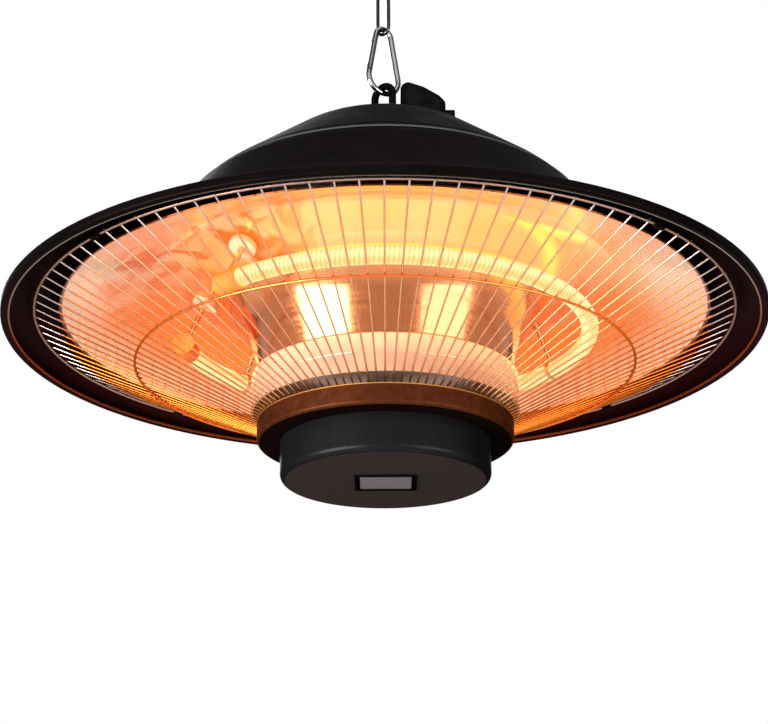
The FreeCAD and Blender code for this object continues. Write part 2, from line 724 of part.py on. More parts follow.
def cover_screw_group():
    length = SHADE_WALL + SCREW_LENGTH - SCREW_GAP
    return [
        screw_up(x, y, shade_underside, length, SCREW_RADIUS, SCREW_HEAD_RADIUS, SCREW_HEAD_HEIGHT)
        for x, y in cover_screws
    ]


# Cable box
box_outline = [
    Vector(BOX_START, 0, level(box_seat)),
    Vector(BOX_START, 0, level(box_seat + BOX_LEFT_RISE)),
    Vector(BOX_START + BOX_PEAK_AT, 0, level(box_seat + BOX_PEAK_RISE)),
    Vector(BOX_START + BOX_SLOPE_AT, 0, level(box_seat + BOX_SLOPE_RISE)),
    Vector(BOX_START + BOX_BROW_AT, 0, level(box_seat + BOX_BROW_RISE)),
    Vector(box_end, 0, level(box_seat + BOX_RIGHT_RISE)),
    Vector(box_end, 0, level(box_seat)),
]


def box_prism(outline, half_width):
    face = Part.Face(Part.makePolygon(outline + [outline[0]]))
    prism = face.extrude(Vector(0, 2 * half_width, 0))
    prism.translate(Vector(0, -half_width, 0))
    return prism


def cable_box_cover():
    outside = box_prism(box_outline, BOX_HALF_WIDTH)
    seat_z = level(box_seat)
    edges = [edge for edge in outside.Edges if edge.BoundBox.ZMax > seat_z + BOX_GASKET]
    outside = outside.makeFillet(BOX_EDGE_ROUND, edges)
    lug_plate = block(2 * BOX_LUG_HALF, 2 * pad_half, box_seat, box_seat + BOX_LUG_WALL, box_middle)
    inner_outline = parallel_path(box_outline, [0.0] * (len(box_outline) - 2), -BOX_WALL)[0]
    inside = box_prism(inner_outline, BOX_HALF_WIDTH - BOX_WALL)
    edges = [edge for edge in inside.Edges if edge.BoundBox.ZMax > seat_z + BOX_GASKET]
    inside = inside.makeFillet(BOX_EDGE_ROUND - BOX_WALL, edges)
    cuts = [inside]
    lug_top = box_seat + BOX_LUG_WALL
    cuts += cylinders(SCREW_RADIUS + SCREW_GAP, box_seat, lug_top, lug_screws)
    gland_start = Vector(box_end - 2 * BOX_WALL, 0, level(gland_height))
    cuts.append(Part.makeCylinder(GLAND_TUBE + GLAND_GAP, 3 * BOX_WALL, gland_start, Vector(1, 0, 0)))
    return outside.fuse(lug_plate).cut(cuts).removeSplitter()


def cable_box_gasket():
    pad = block(BOX_LENGTH, 2 * BOX_HALF_WIDTH, cover_top_height, box_seat, box_middle)
    pad = pad.fuse(block(2 * BOX_LUG_HALF, 2 * pad_half, cover_top_height, box_seat, box_middle))
    inner_length = BOX_LENGTH - 2 * BOX_WALL
    inner_width = 2 * (BOX_HALF_WIDTH - BOX_WALL)
    cuts = [block(inner_length, inner_width, cover_top_height, box_seat, box_middle)]
    cuts += cylinders(SCREW_RADIUS + SCREW_GAP, cover_top_height, box_seat, lug_screws)
    return pad.cut(cuts).removeSplitter()


def cable_box_screw_group():
    seat = box_seat + BOX_LUG_WALL
    return [
        screw_down(x, y, seat, SCREW_LENGTH, SCREW_RADIUS, SCREW_HEAD_RADIUS, SCREW_HEAD_HEIGHT)
        for x, y in lug_screws
    ]


def gland_turning(radius, start, end):
    """A cylinder on the gland's axis between two distances along X."""
    return Part.makeCylinder(radius, end - start, Vector(start, 0, level(gland_height)), Vector(1, 0, 0))


gland_inner_end = box_end - BOX_WALL - GLAND_INSIDE
gland_outer_end = box_end + GLAND_OUTSIDE
gland_flange_end = box_end + GLAND_FLANGE_WALL


def cable_gland_body():
    body = gland_turning(GLAND_TUBE, gland_inner_end, gland_outer_end)
    body = body.fuse(gland_turning(GLAND_FLANGE, box_end, gland_flange_end))
    return body.cut(gland_turning(GLAND_BORE, gland_inner_end, gland_outer_end)).removeSplitter()


def cable_gland_nut():
    nut = gland_turning(GLAND_FLANGE, gland_flange_end, gland_outer_end + GLAND_NUT_END)
    face_edges = [edge for edge in nut.Edges if edge.BoundBox.XMin > gland_outer_end]
    nut = nut.makeFillet(GLAND_NUT_END / 2, face_edges)
    thread = gland_turning(GLAND_TUBE + GLAND_GAP, gland_flange_end, gland_outer_end)
    mouth_end = gland_outer_end + GLAND_NUT_END
    return nut.cut([thread, gland_turning(GLAND_BORE + GLAND_MOUTH_GAP, gland_outer_end, mouth_end)])


def gland_lock_nut():
    start = box_end - BOX_WALL - GLAND_LOCK_WALL
    nut = gland_turning(GLAND_LOCK_RADIUS, start, box_end - BOX_WALL)
    return nut.cut(gland_turning(GLAND_TUBE + GLAND_GAP, start, box_end - BOX_WALL))


block_poles = [(pole - (BLOCK_POLES - 1) / 2) * BLOCK_POLE_PITCH for pole in range(BLOCK_POLES)]


def terminal_block():
    top = cover_top_height + BLOCK_HEIGHT
    body = block(BLOCK_LENGTH, 2 * BLOCK_HALF_WIDTH, cover_top_height, top, block_middle)
    hole_bottom = top - BLOCK_HEIGHT / 2
    places = [(block_middle, y) for y in block_poles]
    return body.cut(cylinders(SMALL_SCREW_RADIUS + SCREW_GAP, hole_bottom, top, places))


def terminal_screw_group():
    top = cover_top_height + BLOCK_HEIGHT
    length = BLOCK_HEIGHT / 2 - SCREW_GAP
    screws = []
    for y in block_poles:
        screw = screw_down(
            block_middle, y, top, length, SMALL_SCREW_RADIUS, SMALL_SCREW_HEAD, SMALL_SCREW_HEAD_HEIGHT
        )
        screws.append(screw)
    return screws


# Lamp posts stand square to the reflector's flank, so each axis runs through the lamp tube's centre
flank_up = Vector(crest_radius - flank_radius, 0, CREST_HEIGHT - FLANK_HEIGHT).normalize()
flank_out = Vector(flank_up.z, 0, -flank_up.x)
lamp_centre = Vector(LAMP_RADIUS, 0, level(LAMP_HEIGHT))
flank_start = Vector(flank_radius, 0, level(FLANK_HEIGHT))
post_seat = flank_start + flank_up * (lamp_centre - flank_start).dot(flank_up)
post_seat_back = post_seat - flank_out * REFLECTOR_WALL
post_inner_end = post_seat_back - flank_out * POST_INSIDE
post_turn = math.degrees(POST_PAST_END / LAMP_RADIUS)
post_angles = (LAMP_START - post_turn, LAMP_START + LAMP_SWEEP + post_turn)
lead_first_turn = post_inner_end - flank_out * LEAD_FIRST_RUN
lead_holes = [polar(lead_hole_circle, angle) for angle in post_angles]


def along_post(radius, start, length):
    """A cylinder on the post's axis, from a point towards the lamp."""
    return Part.makeCylinder(radius, length, start, flank_out)


def quartz_tube():
    outside = ring_arc(LAMP_RADIUS, TUBE_RADIUS, LAMP_HEIGHT, LAMP_START, LAMP_SWEEP)
    bore = TUBE_RADIUS - TUBE_WALL
    return outside.cut(ring_arc(LAMP_RADIUS, bore, LAMP_HEIGHT, LAMP_START, LAMP_SWEEP))


def filament():
    radius = TUBE_RADIUS - TUBE_WALL - FILAMENT_GAP
    return ring_arc(LAMP_RADIUS, radius, LAMP_HEIGHT, LAMP_START, LAMP_SWEEP)


def lamp_cap(angle, towards_tube):
    """A ceramic cap round a lamp end, with a hole for its post."""
    tube_side = POST_PAST_END + CAP_GRIP
    start = lamp_centre + Vector(0, towards_tube * tube_side, 0)
    body = Part.makeCylinder(CAP_RADIUS, CAP_LENGTH, start, Vector(0, -towards_tube, 0))
    hole = Part.makeCylinder(POST_RADIUS + POST_GAP, CAP_RADIUS * 2, lamp_centre, flank_out * -1)
    return turned(body.cut(hole), angle)


def lamp_end_caps():
    tube = ring_arc(LAMP_RADIUS, TUBE_RADIUS + CAP_GAP, LAMP_HEIGHT, LAMP_START, LAMP_SWEEP)
    return [lamp_cap(post_angles[0], 1).cut(tube), lamp_cap(post_angles[1], -1).cut(tube)]


def lamp_posts():
    post = along_post(POST_RADIUS, post_inner_end, (lamp_centre - post_inner_end).Length)
    return [turned(post, angle) for angle in post_angles]


def lamp_bushings():
    head = along_post(BUSHING_RADIUS, post_seat, BUSHING_HEAD)
    body = head.fuse(along_post(BUSHING_NECK, post_seat_back, REFLECTOR_WALL + BUSHING_HEAD))
    hole = along_post(POST_RADIUS + POST_GAP, post_seat_back, REFLECTOR_WALL + BUSHING_HEAD)
    return [turned(body.cut(hole).removeSplitter(), angle) for angle in post_angles]


def lamp_nuts():
    """One nut behind the reflector on each lamp post and each clip post."""
    start = post_seat_back - flank_out * (LAMP_NUT_HEIGHT + SEAT_GAP)
    nut = along_post(LAMP_NUT_RADIUS, start, LAMP_NUT_HEIGHT)
    nut = nut.cut(along_post(POST_RADIUS + SCREW_GAP, start, LAMP_NUT_HEIGHT))
    return [turned(nut, angle) for angle in post_angles + CLIP_ANGLES]


def lamp_clips():
    """Straps round the tube, each with a post through the reflector."""
    inner = TUBE_RADIUS + CLIP_GAP
    start = lamp_centre - Vector(0, CLIP_WIDTH / 2, 0)
    band = Part.makeCylinder(inner + CLIP_WALL, CLIP_WIDTH, start, Vector(0, 1, 0))
    post_start = post_seat_back - flank_out * CLIP_POST_PAST
    post = along_post(POST_RADIUS, post_start, (lamp_centre - post_start).Length)
    clip = band.fuse([post, along_post(CLIP_SHOULDER_RADIUS, post_seat, CLIP_SHOULDER)])
    clip = clip.cut(Part.makeCylinder(inner, CLIP_WIDTH, start, Vector(0, 1, 0))).removeSplitter()
    return [turned(clip, angle) for angle in CLIP_ANGLES]


lead_side = BLOCK_POLE_PITCH


def lamp_lead(angle, side):
    """A lead from a post's inner end up through the shade and over to the terminal block."""
    start = turned(Part.Vertex(post_inner_end), angle).Point
    first_turn = turned(Part.Vertex(lead_first_turn), angle).Point
    x, y = polar(lead_hole_circle, angle)
    below_shade = Vector(x, y, level(shade_underside - LEAD_UNDER_SHADE))
    above_shade = Vector(x, y, level(SHADE_HEIGHT + LEAD_RISE_ABOVE_SHADE))
    beside_strap = Vector(-STRAP_WIDTH, side * STRAP_WIDTH, above_shade.z + LEAD_RISE_ABOVE_SHADE)
    under_block = Vector(block_middle, side * lead_side, level(cover_top_height) - LAST_RUN_UNDER_BLOCK)
    end = Vector(block_middle, side * lead_side, level(cover_top_height))
    points = [start, first_turn, below_shade, above_shade, beside_strap, under_block, end]
    return routed_rod("lamp lead", points, LEAD_RADIUS, LEAD_BEND)


def lamp_leads():
    return [lamp_lead(post_angles[0], -1), lamp_lead(post_angles[1], 1)]


# Reflector
reflector_path = section(
    (foot_radius, DRUM_TOP_HEIGHT),
    (foot_radius, DRUM_TOP_HEIGHT + FOOT_RISE),
    (trumpet_radius, TRUMPET_HEIGHT),
    (flank_radius, FLANK_HEIGHT),
    (crest_radius, CREST_HEIGHT),
    (reflector_edge_radius, REFLECTOR_EDGE_HEIGHT),
)
reflector_radii = [FOOT_ROUND, TRUMPET_ROUND, FLANK_ROUND, CREST_ROUND]
trumpet_corner, flank_corner = reflector_path[2:4]
trumpet_up = (flank_corner - trumpet_corner).normalize()
seam = flank_corner - trumpet_up * SEAM_FROM_FLANK
column_path = reflector_path[:3] + [seam + trumpet_up * SEAM_LAP]
dish_path = [seam] + reflector_path[3:]
standoffs = [polar(standoff_circle, angle) for angle in STANDOFF_ANGLES]


def reflector():
    shell = spun(sheet_face(dish_path, reflector_radii[2:], REFLECTOR_WALL))
    neck_hole = along_post(BUSHING_NECK + BUSHING_GAP, post_seat_back, REFLECTOR_WALL)
    clip_hole = along_post(POST_RADIUS + POST_GAP, post_seat_back, REFLECTOR_WALL)
    cuts = []
    for hole, angles in ((neck_hole, post_angles), (clip_hole, CLIP_ANGLES)):
        deeper = hole.copy()
        deeper.translate(flank_out * REFLECTOR_WALL)
        shallower = hole.copy()
        shallower.translate(flank_out * -REFLECTOR_WALL)
        drill = hole.fuse([deeper, shallower]).removeSplitter()
        cuts += [turned(drill, angle) for angle in angles]
    return shell.cut(cuts)


def reflector_column():
    """The polished middle, its upper edge behind the dish."""
    path, radii = parallel_path(column_path, reflector_radii[:2], REFLECTOR_WALL + SEAT_GAP)
    return spun(sheet_face(path, radii, REFLECTOR_WALL))


def reflector_standoffs():
    """Pins welded under the shade, their lower ends shaped to the reflector's back."""
    path, radii = parallel_path(reflector_path, reflector_radii, REFLECTOR_WALL + SEAT_GAP)
    edges = rounded_edges(path, radii)
    outer = Vector(path[-1].x, 0, level(shade_underside))
    inner = Vector(path[0].x, 0, level(shade_underside))
    edges.append(Part.LineSegment(path[-1], outer).toShape())
    edges.append(Part.LineSegment(outer, inner).toShape())
    edges.append(Part.LineSegment(inner, path[0]).toShape())
    room = spun(Part.Face(Part.Wire(Part.__sortEdges__(edges))))
    pins = cylinders(STANDOFF_RADIUS, FLANK_HEIGHT, shade_underside, standoffs)
    return [pin.common(room) for pin in pins]


def insulation_disc():
    bottom = shade_underside - INSULATION_THICKNESS
    disc = cylinder(insulation_radius, bottom, shade_underside)
    cuts = [cylinder(TIE_TUBE_RADIUS + INSULATION_HOLE_GAP, bottom, shade_underside)]
    nut_room = STRAP_NUT_FLATS / math.sqrt(3.0) + INSULATION_HOLE_GAP
    cuts += cylinders(nut_room, bottom, shade_underside, strap_bolts)
    return disc.cut(cuts)


# Tie tube and drum
tie_tube_top = SHADE_HEIGHT + TIE_NUT_HEIGHT + TIE_TUBE_PAST_NUT
tie_tube_bottom = collar_floor_bottom - TIE_TUBE_PAST_NUT
drum_disc_underside = DRUM_TOP_HEIGHT - DRUM_WALL


def tie_tube():
    return pipe(TIE_TUBE_RADIUS, TIE_TUBE_BORE, tie_tube_bottom, tie_tube_top)


def tie_tube_nuts():
    bore = TIE_TUBE_RADIUS + SCREW_GAP
    upper = hex_nut(TIE_NUT_FLATS, bore, SHADE_HEIGHT, SHADE_HEIGHT + TIE_NUT_HEIGHT)
    lower = hex_nut(TIE_NUT_FLATS, bore, drum_disc_underside - TIE_NUT_HEIGHT, drum_disc_underside)
    return [upper, lower]


def hub_nut():
    bore = TIE_TUBE_RADIUS + SCREW_GAP
    return hex_nut(TIE_NUT_FLATS, bore, collar_floor_top, collar_floor_top + TIE_NUT_HEIGHT)


def column_drum():
    path = section(
        (TIE_TUBE_RADIUS + TIE_TUBE_GAP, DRUM_TOP_HEIGHT),
        (DRUM_RADIUS, DRUM_TOP_HEIGHT),
        (DRUM_RADIUS, drum_bottom),
    )
    drum = spun(sheet_face(path, [DRUM_EDGE_ROUND], -DRUM_WALL))
    groove_top = DRUM_TOP_HEIGHT - DRUM_GROOVE_DROP
    groove_bottom = groove_top - DRUM_GROOVE_WIDTH
    groove_floor = DRUM_RADIUS - DRUM_GROOVE_DEPTH
    return drum.cut(pipe(DRUM_RADIUS + DRUM_WALL, groove_floor, groove_bottom, groove_top))


# Wire guard: the rings lie on the lower side of the wires
guard_fall = GUARD_RING_HEIGHT - COLLAR_TOP_HEIGHT + GUARD_COLLAR_DROP
guard_along = Vector(guard_inner_radius - guard_radius, 0, -guard_fall).normalize()
guard_down = Vector(-guard_along.z, 0, guard_along.x)
outer_ring_centre = Vector(guard_radius, 0, level(GUARD_RING_HEIGHT))
wire_line = outer_ring_centre - guard_down * (GUARD_RING_WIRE / 2 + GUARD_WIRE / 2 - GUARD_WELD)


def ring_under_wires(radius, wire):
    """The centre of a ring of this radius that is welded under the wires."""
    drop = wire / 2 + GUARD_WIRE / 2 - GUARD_WELD
    below = wire_line + guard_down * drop
    steps = (below.x - radius) / -guard_along.x
    return below + guard_along * steps


def ring_at(centre, wire):
    return Part.makeTorus(centre.x, wire / 2, Vector(0, 0, centre.z), Vector(0, 0, 1))


def guard_outer_ring():
    return ring_at(outer_ring_centre, GUARD_RING_WIRE)


def guard_mid_ring():
    return ring_at(ring_under_wires(GUARD_MID_RADIUS, GUARD_MID_WIRE), GUARD_MID_WIRE)


def guard_inner_ring():
    return ring_at(ring_under_wires(guard_inner_radius, GUARD_RING_WIRE), GUARD_RING_WIRE)


def guard_wires():
    start = wire_line - guard_along * (GUARD_WIRE / 2)
    length = (start.x - guard_inner_radius) / -guard_along.x + GUARD_WIRE_PAST_RING
    wire = Part.makeCylinder(GUARD_WIRE / 2, length, start, guard_along)
    return [turned(wire, 360.0 * count / GUARD_WIRE_COUNT) for count in range(GUARD_WIRE_COUNT)]


# Guard clips: a strip on the shade's inner face that goes round under the outer ring
clip_bend = outer_ring_centre.x - GUARD_RING_WIRE / 2 - GUARD_CLIP_GAP
clip_seat = apron_point(clip_bend) + apron_down * SEAT_GAP
rivet_centre = clip_seat + apron_inward * (GUARD_CLIP_FLAT / 2)


def guard_clip(angle):
    ring_low = outer_ring_centre.z - GUARD_RING_WIRE / 2 - GUARD_CLIP_GAP
    path = [
        clip_seat + apron_inward * GUARD_CLIP_FLAT,
        clip_seat,
        Vector(clip_bend, 0, ring_low),
        Vector(outer_ring_centre.x + GUARD_CLIP_REACH, 0, ring_low),
    ]
    strip = sheet_face(path, [0.0, 0.0], -GUARD_CLIP_WALL).extrude(Vector(0, GUARD_CLIP_WIDTH, 0))
    strip.translate(Vector(0, -GUARD_CLIP_WIDTH / 2, 0))
    return turned(strip.cut(rivet_shank(RIVET_RADIUS + SCREW_GAP)), angle)


def guard_clips():
    return [guard_clip(angle) for angle in guard_clip_angles]


def rivet_shank(radius):
    """The rivet's shank through the clip and the shade, square to the apron."""
    start = rivet_centre + apron_down * GUARD_CLIP_WALL
    return Part.makeCylinder(radius, GUARD_CLIP_WALL + 2 * SEAT_GAP + SHADE_WALL, start, apron_down * -1)


def guard_rivets():
    under = rivet_centre + apron_down * GUARD_CLIP_WALL
    over = rivet_centre - apron_down * (2 * SEAT_GAP + SHADE_WALL)
    low_head = Part.makeCylinder(RIVET_HEAD, RIVET_HEAD_HEIGHT, under, apron_down)
    high_head = Part.makeCylinder(RIVET_HEAD, RIVET_HEAD_HEIGHT, over, apron_down * -1)
    rivet = rivet_shank(RIVET_RADIUS).fuse([low_head, high_head]).removeSplitter()
    return [turned(rivet, angle) for angle in guard_clip_angles]


# Control hub
cup_screw_circle = CUP_RADIUS - CUP_WALL - CUP_BOSS_INSET
cup_screws = [polar(cup_screw_circle, angle) for angle in CUP_SCREW_ANGLES]
board_screw_circle = BOARD_RADIUS - BOARD_BOSS_INSET
board_screw_places = [polar(board_screw_circle, angle) for angle in BOARD_SCREW_ANGLES]


def guard_seat():
    ring_centre = ring_under_wires(guard_inner_radius, GUARD_RING_WIRE)
    top = ring_centre.z - GUARD_RING_WIRE / 2 - SEAT_GAP - rim_z
    half = SEAT_WIDTH / 2
    return pipe(guard_inner_radius + half, guard_inner_radius - half, collar_floor_top, top)


def hub_collar():
    path = section(
        (TIE_TUBE_RADIUS + TIE_TUBE_GAP, collar_floor_bottom),
        (COLLAR_RADIUS, collar_floor_bottom),
        (COLLAR_RADIUS, COLLAR_TOP_HEIGHT),
    )
    collar = spun(sheet_face(path, [COLLAR_ROUND], COLLAR_WALL))
    holes = cylinders(SCREW_RADIUS + SCREW_GAP, collar_floor_bottom, collar_floor_top, cup_screws)
    return collar.cut(holes)


def hub_cup():
    path = section((0.0, cup_bottom), (CUP_RADIUS, cup_bottom), (CUP_RADIUS, collar_floor_bottom))
    outside = cover_filled_up(path, [CUP_ROUND])
    inner_wall = CUP_RADIUS - CUP_WALL
    inner_path = section(
        (0.0, cup_floor_top),
        (inner_wall, cup_floor_top),
        (inner_wall, collar_floor_bottom),
    )
    inside = cover_filled_up(inner_path, [CUP_ROUND - CUP_WALL])
    cup = outside.cut(inside)
    bosses = cylinders(CUP_BOSS_RADIUS, cup_bottom + CUP_FLOOR / 2, collar_floor_bottom, cup_screws)
    bosses += cylinders(BOARD_BOSS_RADIUS, cup_bottom + CUP_FLOOR / 2, board_bottom, board_screw_places)
    cup = cup.fuse(bosses)
    pilot_bottom = collar_floor_bottom - SCREW_LENGTH
    cuts = cylinders(SCREW_RADIUS + SCREW_GAP, pilot_bottom, collar_floor_bottom, cup_screws)
    board_pilot = board_bottom - BOARD_SCREW_LENGTH
    cuts += cylinders(SMALL_SCREW_RADIUS + SCREW_GAP, board_pilot, board_bottom, board_screw_places)
    opening_x = WINDOW_LENGTH + 2 * WINDOW_GAP + 2 * BEZEL_FRAME + 2 * SCREW_GAP
    opening_y = WINDOW_DEPTH + 2 * WINDOW_GAP + 2 * BEZEL_FRAME + 2 * SCREW_GAP
    cuts.append(block(opening_x, opening_y, cup_bottom, cup_floor_top))
    return cup.cut(cuts).removeSplitter()


def cover_filled_up(path, radii):
    """The solid above a cup path, up to its upper edge."""
    edges = rounded_edges(path, radii)
    head = Vector(0, 0, path[-1].z)
    edges.append(Part.LineSegment(path[-1], head).toShape())
    edges.append(Part.LineSegment(head, path[0]).toShape())
    return spun(Part.Face(Part.Wire(Part.__sortEdges__(edges))))


def hub_screws():
    length = COLLAR_WALL + SCREW_LENGTH - SCREW_GAP
    return [
        screw_down(x, y, collar_floor_top, length, SCREW_RADIUS, SCREW_HEAD_RADIUS, SCREW_HEAD_HEIGHT)
        for x, y in cup_screws
    ]


bezel_top = cup_floor_top + BEZEL_SPIGOT_PAST


def window_bezel():
    inner_x = WINDOW_LENGTH + 2 * WINDOW_GAP
    inner_y = WINDOW_DEPTH + 2 * WINDOW_GAP
    frame_x = inner_x + 2 * BEZEL_FRAME
    frame_y = inner_y + 2 * BEZEL_FRAME
    frame = block(frame_x, frame_y, cup_bottom, bezel_top)
    low = cup_bottom - BEZEL_PROUD
    flange = block(frame_x + 2 * BEZEL_FLANGE, frame_y + 2 * BEZEL_FLANGE, low, cup_bottom)
    middle_z = level(cup_bottom - BEZEL_PROUD / 2)
    low_edges = [edge for edge in flange.Edges if edge.BoundBox.ZMax < middle_z]
    flange = flange.makeChamfer(BEZEL_PROUD / 2, low_edges)
    return frame.fuse(flange).cut(block(inner_x, inner_y, low, bezel_top)).removeSplitter()


def sensor_window():
    bottom = cup_bottom - BEZEL_PROUD + WINDOW_INSET
    plate = block(WINDOW_LENGTH, WINDOW_DEPTH, bottom, bezel_top)
    lip_x = WINDOW_LENGTH + 2 * WINDOW_LIP
    lip_y = WINDOW_DEPTH + 2 * WINDOW_LIP
    return plate.fuse(block(lip_x, lip_y, bezel_top, bezel_top + WINDOW_LIP_WALL)).removeSplitter()


def control_board():
    board = cylinder(BOARD_RADIUS, board_bottom, board_top)
    holes = cylinders(SMALL_SCREW_RADIUS + SCREW_GAP, board_bottom, board_top, board_screw_places)
    return board.cut(holes)


def board_screws():
    length = BOARD_THICKNESS + BOARD_SCREW_LENGTH - SCREW_GAP
    return [
        screw_down(x, y, board_top, length, SMALL_SCREW_RADIUS, SMALL_SCREW_HEAD, SMALL_SCREW_HEAD_HEIGHT)
        for x, y in board_screw_places
    ]


def relay():
    x = RELAY_AT + RELAY_SIZE[0] / 2
    return block(RELAY_SIZE[0], RELAY_SIZE[1], board_top, board_top + RELAY_SIZE[2], x)


def power_module():
    x = -POWER_AT - POWER_SIZE[0] / 2
    return block(POWER_SIZE[0], POWER_SIZE[1], board_top, board_top + POWER_SIZE[2], x)


connector_top = board_top + CONNECTOR_SIZE[2]


def board_connector():
    return block(CONNECTOR_SIZE[0], CONNECTOR_SIZE[1], board_top, connector_top)


def ir_receiver():
    return block(RECEIVER_SIZE[0], RECEIVER_SIZE[1], board_bottom - RECEIVER_SIZE[2], board_bottom)


def status_led():
    return cylinder(LED_RADIUS, board_bottom - LED_HEIGHT, board_bottom, LED_AT, 0)


def supply_harness():
    """The lead from the board up the tie tube to the terminal block."""
    rise = block_middle
    end_height = cover_top_height
    bend_height = end_height - LAST_RUN_UNDER_BLOCK - rise
    points = [
        Vector(0, 0, level(connector_top)),
        Vector(0, 0, level(bend_height)),
        Vector(block_middle, 0, level(bend_height + rise)),
        Vector(block_middle, 0, level(end_height)),
    ]
    return routed_rod("supply harness", points, HARNESS_RADIUS, HARNESS_BEND)


PIECES = {
    "chain_link_top": chain_link(0.0, TOP_LINK_TURN),
    "chain_link_lower": chain_link(lower_link_top, LOWER_LINK_TURN),
    "carabiner_body": turned(carabiner_body(), CARABINER_TURN),
    "carabiner_gate": turned(carabiner_gate(), CARABINER_TURN),
    "carabiner_gate_pin": turned(carabiner_gate_pin(), CARABINER_TURN),
    "hanging_eye": hanging_eye(),
    "eye_nuts": eye_nuts(),
    "hanger_strap": hanger_strap(),
    "strap_bolts": strap_bolt_group(),
    "strap_nuts": strap_nut_group(),
    "top_cover": top_cover(),
    "cover_screws": cover_screw_group(),
    "cable_box_cover": cable_box_cover(),
    "cable_box_gasket": cable_box_gasket(),
    "cable_box_screws": cable_box_screw_group(),
    "cable_gland_body": cable_gland_body(),
    "cable_gland_nut": cable_gland_nut(),
    "gland_lock_nut": gland_lock_nut(),
    "terminal_block": terminal_block(),
    "terminal_screws": terminal_screw_group(),
    "shade": shade(),
    "insulation_disc": insulation_disc(),
    "reflector": reflector(),
    "reflector_column": reflector_column(),
    "reflector_standoffs": reflector_standoffs(),
    "quartz_tube": quartz_tube(),
    "filament": filament(),
    "lamp_end_caps": lamp_end_caps(),
    "lamp_posts": lamp_posts(),
    "lamp_bushings": lamp_bushings(),
    "lamp_clips": lamp_clips(),
    "lamp_nuts": lamp_nuts(),
    "lamp_leads": lamp_leads(),
    "tie_tube": tie_tube(),
    "tie_tube_nuts": tie_tube_nuts(),
    "column_drum": column_drum(),
    "guard_outer_ring": guard_outer_ring(),
    "guard_mid_ring": guard_mid_ring(),
    "guard_inner_ring": guard_inner_ring(),
    "guard_wires": guard_wires(),
    "guard_clips": guard_clips(),
    "guard_rivets": guard_rivets(),
    "guard_seat": guard_seat(),
    "hub_collar": hub_collar(),
    "hub_nut": hub_nut(),
    "hub_cup": hub_cup(),
    "hub_screws": hub_screws(),
    "window_bezel": window_bezel(),
    "sensor_window": sensor_window(),
    "control_board": control_board(),
    "board_screws": board_screws(),
    "relay": relay(),
    "power_module": power_module(),
    "board_connector": board_connector(),
    "ir_receiver": ir_receiver(),
    "status_led": status_led(),
    "supply_harness": supply_harness(),
}

os.makedirs("parts", exist_ok=True)
for name, piece in PIECES.items():
    shape = Part.makeCompound(piece) if isinstance(piece, list) else piece
    shape.exportStep("parts/" + name + ".step")
    state = "valid" if shape.isValid() else "not valid"
    print(name, len(shape.Solids), "solids", round(shape.Volume, 1), "mm3", state)
print("rim at", round(rim_z, 2), "top link bar", round(top_link_bar, 2))
print("lower link bar", round(lower_link_bar, 2), "carabiner bar", round(carabiner_bar, 2))
print("gate pivot", gate_pivot, "gland axis", round(level(gland_height), 2))
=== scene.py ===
import math
from collections import namedtuple

import bmesh
import bpy
from mathutils import Matrix, Vector


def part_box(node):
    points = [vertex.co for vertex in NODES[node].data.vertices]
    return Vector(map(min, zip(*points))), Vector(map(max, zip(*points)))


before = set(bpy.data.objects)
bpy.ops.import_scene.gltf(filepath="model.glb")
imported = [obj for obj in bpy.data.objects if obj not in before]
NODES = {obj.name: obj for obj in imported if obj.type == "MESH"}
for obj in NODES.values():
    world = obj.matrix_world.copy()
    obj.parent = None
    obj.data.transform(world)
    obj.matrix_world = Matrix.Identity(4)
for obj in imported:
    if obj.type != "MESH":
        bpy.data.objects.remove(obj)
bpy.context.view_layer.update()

bl_info = {
    "name": "Hanging Ring Heater",
    "version": (1, 0, 0),
    "blender": (4, 5, 0),
    "location": "3D View > Sidebar > Heater",
    "description": "Finishes and studio for a ceiling-hung infrared heater",
    "category": "3D View",
}

# Places on the heater, in metres: heights, and distances from its axis
RIM_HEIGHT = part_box("shade")[0].z
LAMP_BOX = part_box("quartz_tube")
LAMP_HEIGHT = (LAMP_BOX[0].z + LAMP_BOX[1].z) / 2
TUBE_RADIUS = (LAMP_BOX[1].z - LAMP_BOX[0].z) / 2
LAMP_RADIUS = LAMP_BOX[1].x - TUBE_RADIUS
COVER_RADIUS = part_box("top_cover")[1].y
COVER_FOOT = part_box("top_cover")[0].z
COLLAR_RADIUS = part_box("hub_collar")[1].y
COLLAR_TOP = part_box("hub_collar")[1].z
EDGE_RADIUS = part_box("reflector")[1].y
EDGE_HEIGHT = RIM_HEIGHT + 0.009

# Where finishes and painted light change: pairs of distances from the axis, pairs of depths
# from front to back, and how far painted lamp glow reaches from the lamp and painted shade
# from the reflector's cut edge
COLUMN_RADII = (0.078, 0.094)
BLOTCH_RADII = (0.150, 0.165)
BACK_GLOW_RADII = (0.150, 0.180)
WIRE_END_RADII = (0.179, 0.184)
FRONT_AND_BACK = (-0.13, 0.0)
BACK_GLOW_DEPTHS = (-0.05, 0.02)
LAMP_GLOW_REACH = 0.043
EDGE_SHADE_REACH = 0.0022

# Direction of the gap between the lamp's ends, and the turns that its coil seems to have
GAP_DIRECTION = math.radians(199.0)
COIL_TURNS = 150.0

# Depth of a finish's relief, in metres
PAINT_RELIEF = 0.0002
PLATE_RELIEF = 0.00015
WINDOW_RELIEF = 0.0001

# Colours of settled dust, of the tube and window, and plain white
PAINT_DUST = (0.20, 0.19, 0.18, 1.0)
PLASTIC_DUST = (0.25, 0.24, 0.23, 1.0)
TUBE_BODY = (0.02, 0.015, 0.01, 1.0)
WINDOW_TONES = ((0.044, 0.029, 0.031, 1.0), (0.054, 0.036, 0.039, 1.0))
WHITE = (1.0, 1.0, 1.0, 1.0)

# Specular level that lets the black sheet show its form
SHEET_GLOSS = 0.008
